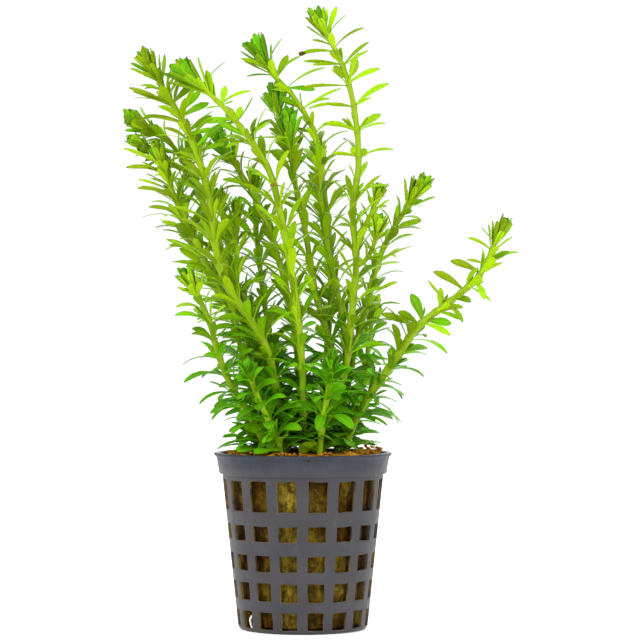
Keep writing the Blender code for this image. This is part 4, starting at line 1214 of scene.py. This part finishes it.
def stem_leaves(shoot, nodes, settings):
    """Every leaf of a shoot but its tuft: the whorls with their buds, the foot's and the listed ones."""
    leaves = []
    for place, node in enumerate(nodes[1:], 1):
        leaves += whorl_leaves(shoot, node, place, settings)
        if place > 2 and shoot.random.random() < 0.85:
            leaves += bud_leaves(shoot, node, settings)
    for height in () if shoot.parent else BASE_WHORLS:
        leaves += base_leaves(shoot, shoot.reach(height * MM), settings)
    return leaves + clear_leaves(shoot, settings)


def make_shoots(stem_settings, leaf_settings):
    """Every stem with its own leaves, one piece for each solid of the model."""
    finishes = [
        stem_material(stem_settings),
        # The third number is how far the upper face is darkened: partly its own colour, partly painted shade,
        # most in the tufts
        leaf_material("rotala leaf", leaf_settings, 0.4, 0.3, 0.15, LEAF_MIDRIB),
        leaf_material("rotala tuft leaf", leaf_settings, 0.45, 0.75, 0.4, TUFT_MIDRIB),
    ]
    leaf_pattern, tuft_pattern = blade_pattern("leaf_pattern", 1), blade_pattern("tuft_pattern", 2)
    shoots = {}
    for number, row in enumerate(SHOOTS):
        shoot = Shoot(number, row, stem_settings, shoots)
        shoots[shoot.name] = shoot
        bm = bmesh.new()
        layers = add_layers(bm)
        nodes = shoot.nodes()
        put_leaves(bm, layers, tuft_pattern, tuft_leaves(shoot, leaf_settings))
        put_leaves(bm, layers, leaf_pattern, stem_leaves(shoot, nodes, leaf_settings))
        put_stem(bm, layers, shoot, nodes, stem_settings)
        bmesh.ops.recalc_face_normals(bm, faces=bm.faces)
        piece = finish_mesh(f"shoot_{shoot.name}", bm, finishes, 60.0)
        node_name = f"side_shoot_{shoot.name[5:]}" if shoot.parent else f"stem_{shoot.name}"
        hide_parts(node_name)
    for pattern in (leaf_pattern, tuft_pattern):
        bpy.data.meshes.remove(pattern)


def show(name, data, place, rotation=(0.0, 0.0, 0.0)):
    """Puts a lamp, the camera or the floor in the scene."""
    made = bpy.data.objects.new(name, data)
    made.location = place
    made.rotation_euler = rotation
    bpy.context.scene.collection.objects.link(made)
    return made


def make_stage(settings):
    """A white floor, a white world, large soft lamps and the level camera."""
    scene = bpy.context.scene
    bm = bmesh.new()
    bmesh.ops.create_grid(bm, x_segments=1, y_segments=1, size=FLOOR_HALF)
    mesh = bpy.data.meshes.new("studio_floor")
    bm.to_mesh(mesh)
    bm.free()
    made, tree, shader, _ = new_material("pale studio floor")
    fill(tree, shader, Base_Color=(0.9, 0.9, 0.9), Roughness=0.9,
         Emission_Color=(1.0, 1.0, 1.0), Emission_Strength=0.2)
    mesh.materials.append(made)
    floor = show("studio_floor", mesh, (0.0, 0.0, 0.0))
    scene.world = bpy.data.worlds.new("white studio")
    scene.world.use_nodes = True
    tree = scene.world.node_tree
    fill(tree, tree.nodes["Background"], Color=(1.0, 1.0, 1.0), Strength=1.05)
    for name, place, size, power in LAMPS:
        data = bpy.data.lights.new(name, "AREA")
        data.size = size
        data.energy = power
        show(name, data, place, (LIT_POINT - Vector(place)).to_track_quat("-Z", "Y").to_euler())
    data = bpy.data.cameras.new("camera")
    data.lens = settings.lens
    data.sensor_width = 36.0
    place = (settings.aside, -settings.distance, settings.height)
    bpy.context.scene.camera = show("camera", data, place, (math.radians(90.0), 0.0, 0.0))
    scene.view_settings.view_transform = "Standard"


class ROTALA_OT_net_pot(bpy.types.Operator):
    """Make the slotted net pot"""
    bl_idname = "rotala.net_pot"
    bl_label = "Net pot"

    def execute(self, context):
        make_net_pot(context.scene.rotala_pot)
        return {"FINISHED"}


class ROTALA_OT_rock_wool(bpy.types.Operator):
    """Make the plug of rock wool"""
    bl_idname = "rotala.rock_wool"
    bl_label = "Rock wool"

    def execute(self, context):
        make_rock_wool(context.scene.rotala_wool)
        return {"FINISHED"}


class ROTALA_OT_shoots(bpy.types.Operator):
    """Make every stem with its leaves"""
    bl_idname = "rotala.shoots"
    bl_label = "Stems and leaves"

    def execute(self, context):
        make_shoots(context.scene.rotala_stem, context.scene.rotala_leaf)
        return {"FINISHED"}


class ROTALA_OT_stage(bpy.types.Operator):
    """Make the floor, the light and the camera"""
    bl_idname = "rotala.stage"
    bl_label = "Stage"

    def execute(self, context):
        make_stage(context.scene.rotala_stage)
        return {"FINISHED"}


class ROTALA_PT_panel(bpy.types.Panel):
    """Lists the pieces and their settings"""
    bl_idname = "ROTALA_PT_panel"
    bl_label = "Rotala"
    bl_space_type = "VIEW_3D"
    bl_region_type = "UI"
    bl_category = "Rotala"

    def draw(self, context):
        for name, operators in PANEL_ROWS:
            box = self.layout.box()
            settings = getattr(context.scene, name)
            for key in type(settings).__annotations__:
                box.prop(settings, key)
            for operator in operators:
                box.operator(operator.bl_idname)


SETTINGS = {
    "rotala_pot": PotSettings,
    "rotala_wool": WoolSettings,
    "rotala_stem": StemSettings,
    "rotala_leaf": LeafSettings,
    "rotala_stage": StageSettings,
}
PANEL_ROWS = (
    ("rotala_pot", (ROTALA_OT_net_pot,)),
    ("rotala_wool", (ROTALA_OT_rock_wool,)),
    ("rotala_stem", ()),
    ("rotala_leaf", (ROTALA_OT_shoots,)),
    ("rotala_stage", (ROTALA_OT_stage,)),
)
CLASSES = (
    *SETTINGS.values(),
    ROTALA_OT_net_pot,
    ROTALA_OT_rock_wool,
    ROTALA_OT_shoots,
    ROTALA_OT_stage,
    ROTALA_PT_panel,
)


def register():
    for kind in CLASSES:
        bpy.utils.register_class(kind)
    for name, kind in SETTINGS.items():
        setattr(bpy.types.Scene, name, PointerProperty(type=kind))


def unregister():
    for name in SETTINGS:
        delattr(bpy.types.Scene, name)
    for kind in reversed(CLASSES):
        bpy.utils.unregister_class(kind)


def main():
    register()
    bpy.ops.rotala.net_pot()
    bpy.ops.rotala.rock_wool()
    bpy.ops.rotala.shoots()
    bpy.ops.rotala.stage()


if __name__ == "__main__":
    main()
